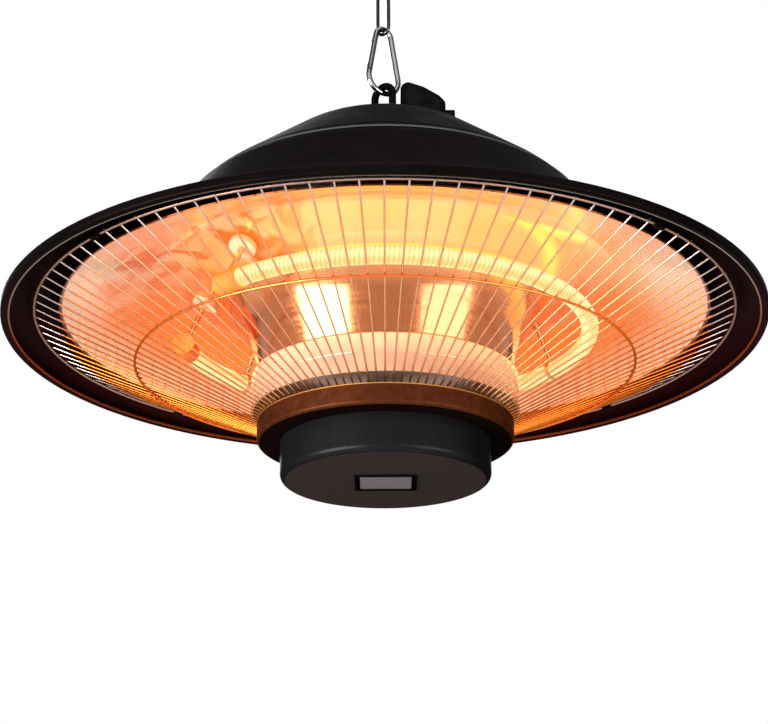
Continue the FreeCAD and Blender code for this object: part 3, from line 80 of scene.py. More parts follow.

# Painted highlights where a sheet's edge seems to catch the light,
# with their painted colours in front and behind
PaintedHighlight = namedtuple("PaintedHighlight", "radius height reach front behind")
# Painted highlight along the cover's lower edge
COVER_HIGHLIGHT = PaintedHighlight(
    radius=COVER_RADIUS,
    height=COVER_FOOT + 0.0028,
    reach=0.0006,
    front=(0.075, 0.070, 0.073),
    behind=(0.02, 0.02, 0.02),
)
# Painted highlight on the hem's inner edge: grey in front, painted orange lamp glow behind
HEM_HIGHLIGHT = PaintedHighlight(
    radius=0.2075,
    height=RIM_HEIGHT + 0.0012,
    reach=0.0012,
    front=(0.34, 0.29, 0.27),
    behind=(0.26, 0.055, 0.010),
)
# Painted yellow highlight along the collar's top edge, dimmer behind
COLLAR_HIGHLIGHT = PaintedHighlight(
    radius=COLLAR_RADIUS,
    height=COLLAR_TOP,
    reach=0.0006,
    front=(0.62, 0.34, 0.06),
    behind=(0.30, 0.10, 0.02),
)

# Studio: camera back, floor and softboxes, each with its share of the softbox power
SENSOR_WIDTH = 36.0
NEAR_CLIP = 0.05
FLOOR_REACH = 30.0
FLOOR_LIFT = 0.5
SoftBox = namedtuple("SoftBox", "name place width height share mirrored")
SOFT_BOXES = (
    SoftBox("left softbox", (-1.25, -1.0, -0.62), 1.2, 0.7, 1.5, True),
    SoftBox("right softbox", (1.25, -1.0, -0.62), 1.2, 0.7, 0.5, True),
    SoftBox("top softbox", (0.3, -0.6, 1.1), 1.0, 0.7, 0.8, True),
    SoftBox("low softbox", (-0.75, -0.75, -1.1), 0.7, 0.7, 0.3, False),
    SoftBox("back softbox", (-0.4, 1.4, 0.5), 1.0, 1.0, 0.4, True),
)


def colour_property(name, description, default):
    """A colour that a user may change."""
    return bpy.props.FloatVectorProperty(
        name=name,
        description=description,
        default=default,
        size=3,
        min=0.0,
        max=1.0,
        subtype="COLOR",
    )


def factor_property(name, description, default):
    """A share from 0 to 1 that a user may change."""
    return bpy.props.FloatProperty(
        name=name, description=description, default=default, min=0.0, max=1.0, subtype="FACTOR"
    )


def level_property(name, description, default, high):
    """A strength of light that a user may change."""
    return bpy.props.FloatProperty(
        name=name, description=description, default=default, min=0.0, max=high
    )


class HeaterFinishes(bpy.types.PropertyGroup):
    """Colours and finishes of the heater, with painted light and shade among them."""

    cover_colour: colour_property(
        "Cover", "Black powder coat of the dome cover", (0.0022, 0.0020, 0.0023)
    )
    shade_colour: colour_property(
        "Shade", "Brown-black enamel of the shade", (0.0048, 0.0034, 0.0034)
    )
    # Painted lamp glow on the back half of the shade's downward faces
    underside_glow_colour: colour_property(
        "Hem", "Painted maroon lamp glow on the back of the shade's underside", (0.024, 0.0050, 0.0050)
    )
    insulation_colour: colour_property(
        "Insulation", "Pale board under the shade's top", (0.72, 0.70, 0.64)
    )
    hub_colour: colour_property(
        "Hub", "Charcoal coat of the control hub", (0.0120, 0.0118, 0.0128)
    )
    # Painted light: the hub's bottom is lighter and browner than its sides
    hub_bottom_light_colour: colour_property(
        "Hub underside", "Painted light on the hub's bottom, lighter and browner than its sides", (0.062, 0.045, 0.042)
    )
    # Brown coat of the collar, warmed with painted lamp glow
    collar_coat_and_glow_colour: colour_property(
        "Collar", "Brown coat of the hub's collar, warmed with painted lamp glow", (0.060, 0.0170, 0.0062)
    )
    # Painted shade under the collar
    collar_under_shade_colour: colour_property(
        "Collar underside", "Painted shade under the collar", (0.010, 0.0052, 0.0040)
    )
    hood_colour: colour_property(
        "Hood", "Moulded plastic of the hood and gland", (0.0030, 0.0028, 0.0032)
    )
    gasket_colour: colour_property("Gasket", "Rubber under the hood", (0.01, 0.01, 0.01))
    # Polished aluminium, warmed with painted lamp glow
    reflector_warm_glow_colour: colour_property(
        "Reflector", "Polished aluminium of the dish, warmed with painted lamp glow", (1.0, 0.76, 0.51)
    )
    # Painted lamp glow on the reflector round the lamp, lighter in front and deeper behind
    trough_front_glow_colour: colour_property(
        "Trough front", "Painted lamp glow on the reflector in front of the lamp", (1.0, 0.60, 0.16)
    )
    trough_glow_colour: colour_property(
        "Trough", "Painted lamp glow on the reflector round the lamp", (1.0, 0.36, 0.05)
    )
    # Orange blotches by the lamp's ends, also used for painted glow and painted edge shade
    orange_colour: colour_property(
        "Orange blotches", "Orange blotches by the lamp's ends, also the caps' painted glow and the painted edge shade", (1.0, 0.20, 0.02)
    )
    # Painted lamp glow, deepest in the back half of the trough
    back_glow_colour: colour_property(
        "Back glow", "Deepest painted lamp glow, in the back half of the trough", (0.95, 0.20, 0.008)
    )
    # Painted lamp glow on the column
    column_glow_colour: colour_property(
        "Column", "Painted lamp glow on the reflector's column", (0.50, 0.17, 0.06)
    )
    # Aluminium of the drum, warmed with a painted reflection of the reflector's glow
    drum_glow_colour: colour_property("Drum", "Bright aluminium of the drum, warmed with a painted reflection of the reflector's glow", (1.0, 0.72, 0.52))
    # Painted reflection of the reflector's glow on the wires in front
    guard_front_glow_colour: colour_property(
        "Guard", "Chrome guard wire, with a painted reflection of the reflector's glow in front", (0.80, 0.40, 0.22)
    )
    # Painted lamp glow on the wires behind
    guard_back_glow_colour: colour_property(
        "Guard back", "Deeper painted lamp glow on the wires behind", (0.62, 0.16, 0.022)
    )
    # Painted highlight on the wire ends past the reflector
    guard_rim_highlight_colour: colour_property(
        "Guard rim", "Painted highlight on the wire ends outside the reflector", (0.70, 0.52, 0.45)
    )
    # Painted lamp glow on the middle ring
    mid_ring_glow_colour: colour_property(
        "Middle ring", "Middle ring of the guard, with painted lamp glow", (0.95, 0.25, 0.06)
    )
    # Plated outer ring, warmed with painted lamp glow
    outer_ring_glow_colour: colour_property(
        "Outer ring", "Plated outer ring of the guard, warmed with painted lamp glow", (0.45, 0.28, 0.22)
    )
    steel_colour: colour_property("Bright steel", "Plated carabiner", (0.50, 0.51, 0.54))
    # Painted dark reflection on the carabiner's flanks
    steel_flank_reflection_colour: colour_property(
        "Steel flanks", "Painted dark reflection on the flanks of the carabiner's bar", (0.035, 0.035, 0.04)
    )
    # Plated chain, darkened with a painted reflection of the dark room
    chain_plate_and_reflection_colour: colour_property("Chain", "Plated chain links, darkened with a painted reflection of the dark room", (0.10, 0.10, 0.11))
    # Painted dark reflection on the chain's flanks
    chain_flank_reflection_colour: colour_property(
        "Chain flanks", "Painted dark reflection on the flanks of the chain's bar", (0.006, 0.006, 0.007)
    )
    zinc_colour: colour_property(
        "Zinc", "Zinc-plated strap, screws and nuts", (0.56, 0.56, 0.55)
    )
    ceramic_colour: colour_property("Ceramic", "Fired ceramic bushings", (0.80, 0.55, 0.32))
    post_colour: colour_property(
        "Posts", "Nickel-plated lamp posts and clips", (0.90, 0.58, 0.32)
    )
    terminal_colour: colour_property(
        "Terminals", "Plastic of the terminal block and connector", (0.80, 0.77, 0.68)
    )
    lead_colour: colour_property("Leads", "Silicone round the leads", (0.62, 0.58, 0.52))
    laminate_colour: colour_property("Board", "Laminate of the control board", (0.03, 0.17, 0.08))
    relay_colour: colour_property("Relay", "Plastic of the board's parts", (0.015, 0.016, 0.022))
    lens_colour: colour_property("Lens", "Red lens of the status light", (0.6, 0.05, 0.04))
    glow_colour: colour_property("Glow", "Light of the hot lamp", (1.0, 0.50, 0.13))
    core_colour: colour_property("Core", "Hottest parts of the lamp", (1.0, 0.82, 0.38))
    cast_colour: colour_property(
        "Cast light", "Light that the lamp throws on the reflector", (1.0, 0.30, 0.02)
    )
    glow_seen: level_property("Glow seen", "Brightness of the lamp to the eye", 1.25, 20.0)
    glow_mirrored: level_property(
        "Glow mirrored", "Brightness of the lamp in polished metal", 2.6, 50.0
    )
    glow_cast: level_property(
        "Glow cast", "Strength of the light that the lamp throws", 13.0, 200.0
    )
    coat_roughness: factor_property("Coat roughness", "Gloss of the painted sheet", 0.4)
    metal_roughness: factor_property("Metal roughness", "Polish of the reflector", 0.17)


class HeaterStage(bpy.types.PropertyGroup):
    """Camera, floor and lights."""

    camera_place: bpy.props.FloatVectorProperty(
        name="Camera",
        description="Camera position",
        default=(-0.0006, -0.898, -0.5949),
        size=3,
        subtype="TRANSLATION",
    )
    camera_pitch: bpy.props.FloatProperty(
        name="Pitch",
        description="Camera pitch above the horizon",
        default=math.radians(20.18),
        subtype="ANGLE",
    )
    camera_roll: bpy.props.FloatProperty(
        name="Roll",
        description="Camera roll about its view axis",
        default=math.radians(-0.3),
        subtype="ANGLE",
    )
    lens: bpy.props.FloatProperty(
        name="Lens", description="Focal length in mm", default=79.875, min=10.0
    )
    floor_height: bpy.props.FloatProperty(
        name="Floor", description="Floor height", default=-3.0, unit="LENGTH"
    )
    floor_colour: colour_property("Floor", "Pale studio floor", (0.80, 0.80, 0.80))
    box_power: bpy.props.FloatProperty(
        name="Softbox",
        description="Power in watts that each softbox takes a share of",
        default=34.0,
        min=0.0,
    )
    sky_level: bpy.props.FloatProperty(
        name="Fill", description="Even fill light of the room", default=0.45, min=0.0
    )


def finishes():
    return bpy.context.scene.heater_finishes


def rgba(colour, share=1.0):
    return (colour[0] * share, colour[1] * share, colour[2] * share, 1.0)


def grey(level):
    return (level, level, level, 1.0)


def place(tree, kind, inputs=None, **settings):
    """A node with its settings, and its inputs set or linked."""
    made = tree.nodes.new(kind)
    for key, value in settings.items():
        setattr(made, key, value)
    for key, value in (inputs or {}).items():
        socket = made.inputs[key]
        if isinstance(value, bpy.types.NodeSocket):
            tree.links.new(value, socket)
        else:
            socket.default_value = value
    return made


def math_node(tree, operation, first, second=0.0):
    return place(tree, "ShaderNodeMath", {0: first, 1: second}, operation=operation).outputs[0]


def times(tree, first, second):
    return math_node(tree, "MULTIPLY", first, second)


def remap(tree, value, low, high, to_low=0.0, to_high=1.0):
    """A value taken from one range to another, and held at its ends."""
    ranges = {0: value, 1: low, 2: high, 3: to_low, 4: to_high}
    return place(tree, "ShaderNodeMapRange", ranges, clamp=True).outputs[0]


def blend_colour(tree, factor, first, second, blend="MIX"):
    inputs = {0: factor, 6: first, 7: second}
    return place(tree, "ShaderNodeMix", inputs, data_type="RGBA", blend_type=blend).outputs[2]


def object_point(tree):
    return place(tree, "ShaderNodeTexCoord").outputs["Object"]


def split_axes(tree, vector):
    return place(tree, "ShaderNodeSeparateXYZ", {0: vector}).outputs


def axis_distance(tree, point):
    """Distance from the heater's axis."""
    flat = place(
        tree, "ShaderNodeVectorMath", {0: point, 1: (1.0, 1.0, 0.0)}, operation="MULTIPLY"
    ).outputs[0]
    return place(tree, "ShaderNodeVectorMath", {0: flat}, operation="LENGTH").outputs["Value"]


def clouds(tree, point, scale, detail, distortion=0.0):
    """Soft noise over the surface."""
    inputs = {"Vector": point, "Scale": scale, "Detail": detail, "Distortion": distortion}
    return place(tree, "ShaderNodeTexNoise", inputs).outputs[0]


def start_group(name, inputs, outputs):
    """A shader node group with named sockets."""
    group = bpy.data.node_groups.new(name, "ShaderNodeTree")
    for label, default in inputs:
        socket = group.interface.new_socket(label, in_out="INPUT", socket_type="NodeSocketFloat")
        socket.default_value = default
    for label in outputs:
        group.interface.new_socket(label, in_out="OUTPUT", socket_type="NodeSocketFloat")
    given = group.nodes.new("NodeGroupInput").outputs
    result = group.nodes.new("NodeGroupOutput").inputs
    return group, given, result


def build_grain_group():
    """Cloudy tone and fine height of a sprayed, cast or moulded surface."""
    group, given, result = start_group(
        "Surface Grain", [("Scale", 40.0), ("Fine", 14.0)], ["Tone", "Height"]
    )
    point = object_point(group)
    cloud = clouds(group, point, given["Scale"], detail=5.0)
    fine_scale = times(group, given["Scale"], given["Fine"])
    fine = clouds(group, point, fine_scale, detail=3.0)
    group.links.new(remap(group, cloud, 0.3, 0.7), result["Tone"])
    group.links.new(fine, result["Height"])
    return group


def build_lathe_group():
    """Fine rings left by spinning sheet on a lathe."""
    group, given, result = start_group("Lathe Rings", [("Pitch", 900.0)], ["Rings"])
    point = object_point(group)
    height = split_axes(group, point)["Z"]
    along = math_node(group, "SUBTRACT", axis_distance(group, point), height)
    spaced = {"W": times(group, along, given["Pitch"]), "Scale": 1.0, "Detail": 3.0}
    rings = place(group, "ShaderNodeTexNoise", spaced, noise_dimensions="1D").outputs[0]
    group.links.new(rings, result["Rings"])
    return group


def build_dust_group():
    """Light dust on faces that look up."""
    group, given, result = start_group(
        "Settled Dust", [("Amount", 0.1), ("Scale", 60.0)], ["Mask"]
    )
    coordinates = place(group, "ShaderNodeTexCoord").outputs
    facing = remap(group, split_axes(group, coordinates["Normal"])["Z"], 0.35, 1.0)
    cloud = clouds(group, coordinates["Object"], given["Scale"], detail=8.0)
    patches = times(group, facing, remap(group, cloud, 0.45, 0.75))
    group.links.new(times(group, patches, given["Amount"]), result["Mask"])
    return group


def build_wear_group():
    """Rubbed edges, where the coat thins."""
    group, given, result = start_group(
        "Rubbed Edges", [("Amount", 0.4), ("Scale", 120.0)], ["Mask"]
    )
    sharp = place(group, "ShaderNodeNewGeometry").outputs["Pointiness"]
    cloud = clouds(group, object_point(group), given["Scale"], detail=4.0)
    broken = times(group, remap(group, sharp, 0.53, 0.62), remap(group, cloud, 0.4, 0.65))
    group.links.new(times(group, broken, given["Amount"]), result["Mask"])
    return group


def build_circle_group():
    """Points within reach of a level circle about the axis, such as a sheet's edge or the lamp."""
    group, given, result = start_group(
        "Near Circle", [("Radius", 0.1), ("Height", 0.0), ("Reach", 0.001)], ["Mask"]
    )
    point = object_point(group)
    across = math_node(group, "SUBTRACT", axis_distance(group, point), given["Radius"])
    above = math_node(group, "SUBTRACT", split_axes(group, point)["Z"], given["Height"])
    squares = [math_node(group, "POWER", offset, 2.0) for offset in (across, above)]
    distance = math_node(group, "SQRT", math_node(group, "ADD", *squares))
    away = math_node(group, "DIVIDE", distance, given["Reach"])
    group.links.new(remap(group, away, 0.7, 1.0, 1.0, 0.0), result["Mask"])
    return group


def build_underside_group():
    """Faces that look down more than a tilt."""
    group, given, result = start_group("Underside", [("Tilt", 0.3)], ["Mask"])
    normal = place(group, "ShaderNodeTexCoord").outputs["Normal"]
    past_tilt = math_node(group, "ADD", split_axes(group, normal)["Z"], given["Tilt"])
    group.links.new(remap(group, past_tilt, -0.05, 0.0, 1.0, 0.0), result["Mask"])
    return group


GROUP_BUILDERS = {
    "Underside": build_underside_group,
    "Near Circle": build_circle_group,
    "Surface Grain": build_grain_group,
    "Lathe Rings": build_lathe_group,
    "Settled Dust": build_dust_group,
    "Rubbed Edges": build_wear_group,
}


def effect(tree, name, **values):
    """A shared effect placed in a material with its own values."""
    group = bpy.data.node_groups.get(name) or GROUP_BUILDERS[name]()
    made = tree.nodes.new("ShaderNodeGroup")
    made.node_tree = group
    for label, value in values.items():
        made.inputs[label.capitalize()].default_value = value
    return made.outputs


def start_material(name, sockets):
    """A material whose shader has these plain values."""
    material = bpy.data.materials.new(name)
    material.use_nodes = True
    tree = material.node_tree
    shader = tree.nodes["Principled BSDF"]
    for label, value in sockets.items():
        shader.inputs[label].default_value = value
    return material, tree, shader


def cloudy(tree, texture, colour, dark, light):
    """A colour that varies in clouds between two shares of itself."""
    return blend_colour(tree, texture["Tone"], rgba(colour, dark), rgba(colour, light))


def front_to_back(tree, front, behind):
    """A colour that changes from the front of the heater to its back, for painted light."""
    depth = split_axes(tree, object_point(tree))["Y"]
    return blend_colour(tree, remap(tree, depth, *FRONT_AND_BACK), rgba(front), rgba(behind))


def raise_surface(tree, shader, height, strength, distance):
    """Relief from a height that varies over the surface."""
    inputs = {"Height": height, "Strength": strength, "Distance": distance}
    bump = place(tree, "ShaderNodeBump", inputs)
    tree.links.new(bump.outputs["Normal"], shader.inputs["Normal"])


def plate_finish(tree, shader, texture, roughness, relief=0.05):
    """Uneven polish and faint relief of plated or polished metal."""
    polish = remap(tree, texture["Tone"], 0.0, 1.0, roughness * 0.8, roughness * 1.25)
    tree.links.new(polish, shader.inputs["Roughness"])
    raise_surface(tree, shader, texture["Height"], relief, PLATE_RELIEF)


def coated_sheet(
    name,
    colour,
    roughness,
    sheen,
    line=None,
    grain=45.0,
    relief=0.12,
    dust=0.01,
    wear=0.2,
    gloss=0.0,
    underside=None,
    underside_tilt=0.94,
):
    """Satin enamel on steel: orange peel, cloudy sheen, rubbed edges, a painted highlight and dust
    on top.

    underside has the front and back colours painted on faces that look down more than
    underside_tilt, as painted light and shade.
    """
    plain = {"Metallic": 0.6, "Specular IOR Level": gloss, "Specular Tint": grey(sheen)}
    material, tree, shader = start_material(name, plain)
    texture = effect(tree, "Surface Grain", scale=grain, fine=22.0)
    tone = cloudy(tree, texture, colour, dark=0.82, light=1.25)
    # Painted light and shade on faces that look down, in a front and a back colour
    if underside:
        down = effect(tree, "Underside", tilt=underside_tilt)["Mask"]
        tone = blend_colour(tree, down, tone, front_to_back(tree, *underside))
    worn = effect(tree, "Rubbed Edges", amount=wear)["Mask"]
    coat = blend_colour(tree, worn, tone, rgba([0.01 + value * 2 for value in colour]))
    # Painted highlight along a circle at the sheet's edge
    if line:
        lit = effect(
            tree, "Near Circle", radius=line.radius, height=line.height, reach=line.reach
        )["Mask"]
        coat = blend_colour(tree, lit, coat, front_to_back(tree, line.front, line.behind))
    dusty = effect(tree, "Settled Dust", amount=dust)["Mask"]
    tree.links.new(blend_colour(tree, dusty, coat, PAINT_DUST), shader.inputs["Base Color"])
    satin = remap(tree, texture["Tone"], 0.0, 1.0, roughness - 0.05, roughness + 0.06)
    tree.links.new(satin, shader.inputs["Roughness"])
    raise_surface(tree, shader, texture["Height"], relief, PAINT_RELIEF)
    return material


def bare_metal(name, colour, roughness, edge_tint=0.6, grain=80.0, relief=0.05, metallic=1.0):
    """Plated or polished metal with faint stains, darker where it turns away."""
    plain = {"Metallic": metallic, "Specular Tint": grey(edge_tint)}
    material, tree, shader = start_material(name, plain)
    texture = effect(tree, "Surface Grain", scale=grain, fine=10.0)
    tone = cloudy(tree, texture, colour, dark=0.85, light=1.0)
    tree.links.new(tone, shader.inputs["Base Color"])
    plate_finish(tree, shader, texture, roughness, relief)
    return material


def guard_plate(name):
    """Chromed guard wire: painted peach reflection in front, deeper painted lamp glow behind,
    and a bright painted highlight past the reflector.
    """
    look = finishes()
    plain = {"Metallic": 1.0, "Specular Tint": grey(0.2)}
    material, tree, shader = start_material(name, plain)
    texture = effect(tree, "Surface Grain", scale=300.0, fine=10.0)
    # Painted highlight on the wire ends past the reflector's edge
    outside = remap(tree, axis_distance(tree, object_point(tree)), *WIRE_END_RADII)
    # Painted reflection in front and painted lamp glow behind
    tone = front_to_back(tree, look.guard_front_glow_colour, look.guard_back_glow_colour)
    tone = blend_colour(tree, outside, tone, rgba(look.guard_rim_highlight_colour))
    stained = blend_colour(tree, texture["Tone"], grey(0.85), WHITE)
    tone = blend_colour(tree, 1.0, tone, stained, blend="MULTIPLY")
    tree.links.new(tone, shader.inputs["Base Color"])
    plate_finish(tree, shader, texture, roughness=0.2)
    return material


def bright_plate(name, colour, dark, roughness):
    """Bright plating on round bar, with a painted dark reflection of the unlit room on its flanks.
    """
    material, tree, shader = start_material(name, {"Metallic": 1.0})
    texture = effect(tree, "Surface Grain", scale=220.0, fine=10.0)
    # Painted dark reflection, by how far the surface turns from the eye
    turned = place(tree, "ShaderNodeLayerWeight", {"Blend": 0.5}).outputs["Facing"]
    flank_reflection = times(tree, remap(tree, turned, 0.1, 0.25), remap(tree, turned, 0.6, 0.85, 1.0, 0.0))
    tone = cloudy(tree, texture, colour, dark=0.8, light=1.0)
    tone = blend_colour(tree, flank_reflection, tone, rgba(dark))
    tree.links.new(tone, shader.inputs["Base Color"])
    plate_finish(tree, shader, texture, roughness)
    return material


def spun_aluminium(name):
    """Spun reflector sheet: lathe rings, and painted lamp glow that deepens to the lamp and
    column.
    """
    look = finishes()
    plain = {"Specular IOR Level": 0.2, "Coat Roughness": 0.06}
    material, tree, shader = start_material(name, plain)
    texture = effect(tree, "Surface Grain", scale=16.0, fine=9.0)
    point = object_point(tree)
    radius = axis_distance(tree, point)
    axes = split_axes(tree, point)

    # Painted lamp glow round the lamp: lighter in front, deeper behind, over the warm base
    near_lamp = effect(
        tree, "Near Circle", radius=LAMP_RADIUS, height=LAMP_HEIGHT, reach=LAMP_GLOW_REACH
    )["Mask"]
    trough = times(tree, near_lamp, remap(tree, texture["Tone"], 0.0, 1.0, 0.5, 1.0))
    heat = front_to_back(tree, look.trough_front_glow_colour, look.trough_glow_colour)
    tone = blend_colour(tree, trough, rgba(look.reflector_warm_glow_colour), heat)

    # Orange blotches by the lamp's ends
    along_x = times(tree, axes["X"], math.cos(GAP_DIRECTION))
    along_y = times(tree, axes["Y"], math.sin(GAP_DIRECTION))
    towards_gap = math_node(tree, "ADD", along_x, along_y)
    by_gap = remap(tree, math_node(tree, "DIVIDE", towards_gap, radius), 0.55, 0.9)
    blotches = clouds(tree, point, scale=34.0, detail=2.0, distortion=1.2)
    gap_blotch = times(tree, by_gap, remap(tree, blotches, 0.46, 0.58))
    gap_blotch = times(tree, gap_blotch, remap(tree, radius, *BLOTCH_RADII, 1.0, 0.0))
    tone = blend_colour(tree, gap_blotch, tone, rgba(look.orange_colour))

    # Painted lamp glow, deepest in the back half of the trough
    behind = remap(tree, axes["Y"], *BACK_GLOW_DEPTHS)
    back_glow_mask = times(tree, behind, remap(tree, radius, *BACK_GLOW_RADII, 0.9, 0.2))
    tone = blend_colour(tree, back_glow_mask, tone, rgba(look.back_glow_colour))

    # Painted shade along the reflector's cut edge
    cut = effect(
        tree, "Near Circle", radius=EDGE_RADIUS, height=EDGE_HEIGHT, reach=EDGE_SHADE_REACH
    )["Mask"]
    tone = blend_colour(tree, cut, tone, rgba(look.orange_colour, 0.1))

    # Painted lamp glow on the column; the column is also more metallic and coated
    column = remap(tree, radius, *COLUMN_RADII, 1.0, 0.0)
    tone = blend_colour(tree, column, tone, rgba(look.column_glow_colour))
    tree.links.new(tone, shader.inputs["Base Color"])
    tree.links.new(remap(tree, column, 0.0, 1.0, 0.72, 1.0), shader.inputs["Metallic"])
    tree.links.new(times(tree, column, 0.3), shader.inputs["Coat Weight"])

    rings = effect(tree, "Lathe Rings", pitch=700.0)["Rings"]
    polish = look.metal_roughness
    sheen = remap(tree, rings, 0.3, 0.7, polish - 0.04, polish + 0.06)
    tree.links.new(sheen, shader.inputs["Roughness"])
    raise_surface(tree, shader, rings, strength=0.04, distance=PLATE_RELIEF)
    return material


def moulded(name, colour, roughness, grain=90.0, relief=0.1, dust=0.03):
    """Moulded plastic, rubber or fired ceramic with a fine grain."""
    material, tree, shader = start_material(name, {"Specular IOR Level": 0.4})
    texture = effect(tree, "Surface Grain", scale=grain, fine=16.0)
    tone = cloudy(tree, texture, colour, dark=0.85, light=1.12)
    dusty = effect(tree, "Settled Dust", amount=dust)["Mask"]
    tree.links.new(blend_colour(tree, dusty, tone, PLASTIC_DUST), shader.inputs["Base Color"])
    satin = remap(tree, texture["Height"], 0.3, 0.7, roughness - 0.06, roughness + 0.06)
    tree.links.new(satin, shader.inputs["Roughness"])
    raise_surface(tree, shader, texture["Height"], relief, PAINT_RELIEF)
    return material


def hot_tube(name):
    """The lit lamp: bright cells of a wound filament behind the tube, warmer between them."""
    look = finishes()
    plain = {"Base Color": TUBE_BODY, "Specular IOR Level": 0.1, "Roughness": 0.3}
    material, tree, shader = start_material(name, plain)
    point = object_point(tree)
    axes = split_axes(tree, point)
    rise = math_node(tree, "SUBTRACT", axes["Z"], LAMP_HEIGHT)
    out = math_node(tree, "SUBTRACT", axis_distance(tree, point), LAMP_RADIUS)
    minor = math_node(tree, "ARCTAN2", rise, out)
    turns = times(tree, math_node(tree, "ARCTAN2", axes["Y"], axes["X"]), COIL_TURNS)
    coil = math_node(tree, "SINE", math_node(tree, "ADD", turns, minor))
    crossed = math_node(tree, "SUBTRACT", turns, times(tree, minor, 2.0))
    cells = times(tree, coil, math_node(tree, "SINE", crossed))
    speckle = times(tree, clouds(tree, point, scale=420.0, detail=2.0), 0.6)
    mixed = math_node(tree, "ADD", remap(tree, cells, -0.8, 0.8, 0.0, 0.7), speckle)
    heat = remap(tree, mixed, 0.35, 0.95)
    hot = blend_colour(tree, heat, rgba(look.glow_colour), rgba(look.core_colour))
    seen = place(tree, "ShaderNodeLightPath").outputs
    sharp = math_node(tree, "MAXIMUM", seen["Is Camera Ray"], seen["Is Glossy Ray"])
    glow = blend_colour(tree, sharp, rgba(look.cast_colour), hot)
    tree.links.new(glow, shader.inputs["Emission Color"])
    mirrored = remap(tree, seen["Is Glossy Ray"], 0.0, 1.0, look.glow_cast, look.glow_mirrored)
    strengths = {0: seen["Is Camera Ray"], 2: mirrored, 3: look.glow_seen}
    strength = place(tree, "ShaderNodeMix", strengths, data_type="FLOAT").outputs[0]
    tree.links.new(strength, shader.inputs["Emission Strength"])
    return material


def smoked_window(name):
    """Dark infrared-passing plastic with fine scratches."""
    material, tree, shader = start_material(name, {"Specular IOR Level": 0.12})
    texture = effect(tree, "Surface Grain", scale=60.0, fine=30.0)
    tone = blend_colour(tree, texture["Tone"], *WINDOW_TONES)
    tree.links.new(tone, shader.inputs["Base Color"])
    satin = remap(tree, texture["Height"], 0.3, 0.7, 0.30, 0.40)
    tree.links.new(satin, shader.inputs["Roughness"])
    raise_surface(tree, shader, texture["Height"], strength=0.01, distance=WINDOW_RELIEF)
    return material


def dress(material, *names):
    """Gives a finish to CAD nodes, with smooth shading left as it came."""
    for name in names:
        slots = NODES[name].data.materials
        slots.clear()
        slots.append(material)


def stage_object(name, data):
    made = bpy.data.objects.new(name, data)
    bpy.context.scene.collection.objects.link(made)
    return made


class HEATER_OT_hanging_steel(bpy.types.Operator):
    """Plated chain links and carabiner"""

    bl_idname = "heater.hanging_steel"
    bl_label = "Chain and carabiner"

    def execute(self, context):
        look = finishes()
        # Painted dark reflections on the flanks of the bars, and a chain darkened the same way
        bright = bright_plate(
            "bright plated steel", look.steel_colour, look.steel_flank_reflection_colour, roughness=0.1
        )
        dress(bright, "carabiner_body", "carabiner_gate", "carabiner_gate_pin")
        chain = bright_plate(
            "plated chain with painted dark reflection", look.chain_plate_and_reflection_colour, look.chain_flank_reflection_colour, roughness=0.12
        )
        dress(chain, "chain_link_top", "chain_link_lower")
        return {"FINISHED"}


class HEATER_OT_cover(bpy.types.Operator):
    """Dome cover, hood, gland and hanging eye"""

    bl_idname = "heater.cover"
    bl_label = "Cover and hood"

    def execute(self, context):
        look = finishes()
        # Painted highlight along the cover's lower edge
        powder = coated_sheet(
            "cover powder coat",
            look.cover_colour,
            roughness=0.5,
            sheen=0.1,
            line=COVER_HIGHLIGHT,
            gloss=SHEET_GLOSS,
        )
        dress(powder, "top_cover")
        black = coated_sheet(
            "black oxide", look.hood_colour, roughness=0.4, sheen=0.2, grain=150.0
        )
        dress(black, "hanging_eye", "cable_box_screws")
        plastic = coated_sheet(
            "hood plastic", look.hood_colour, roughness=0.45, sheen=0.1, grain=90.0, relief=0.2
        )
        dress(plastic, "cable_box_cover", "cable_gland_body", "cable_gland_nut", "gland_lock_nut")
        rubber = moulded("gasket rubber", look.gasket_colour, roughness=0.8, relief=0.2)
        dress(rubber, "cable_box_gasket")
        return {"FINISHED"}


class HEATER_OT_carrier(bpy.types.Operator):
    """Zinc-plated strap, tube, screws and nuts"""

    bl_idname = "heater.carrier"
    bl_label = "Carrier and fixings"

    def execute(self, context):
        zinc = bare_metal(
            "zinc plate", finishes().zinc_colour, roughness=0.32, grain=140.0, relief=0.08
        )
        dress(
            zinc,
            "eye_nuts",
            "hanger_strap",
            "strap_bolts",
            "strap_nuts",
            "cover_screws",
            "terminal_screws",
            "reflector_standoffs",
            "lamp_nuts",
            "tie_tube",
            "tie_tube_nuts",
            "hub_nut",
            "hub_screws",
            "board_screws",
        )
        return {"FINISHED"}


class HEATER_OT_shade(bpy.types.Operator):
    """Enamelled shade with its guard clips, and the insulation under it"""

    bl_idname = "heater.shade"
    bl_label = "Shade"

    def execute(self, context):
        look = finishes()
        # Painted highlight on the hem, and painted lamp glow on the back of the shade's underside
        enamel = coated_sheet(
            "shade enamel",
            look.shade_colour,
            roughness=look.coat_roughness,
            sheen=0.12,
            line=HEM_HIGHLIGHT,
            gloss=SHEET_GLOSS,
            underside=(look.shade_colour, look.underside_glow_colour),
            underside_tilt=0.8,
        )
        dress(enamel, "shade", "guard_clips", "guard_rivets")
        board = moulded("insulation board", look.insulation_colour, roughness=0.9, relief=0.4)
        dress(board, "insulation_disc")
        return {"FINISHED"}


class HEATER_OT_reflector(bpy.types.Operator):
    """Spun reflector and the drum under it"""

    bl_idname = "heater.reflector"
    bl_label = "Reflector"

    def execute(self, context):
        dress(spun_aluminium("spun aluminium"), "reflector", "reflector_column")
        # The drum's warm colour is partly a painted reflection of the reflector's glow
        drum = bare_metal(
            "drum aluminium", finishes().drum_glow_colour, roughness=0.16, relief=0.03, metallic=0.6
        )
        dress(drum, "column_drum")
        return {"FINISHED"}


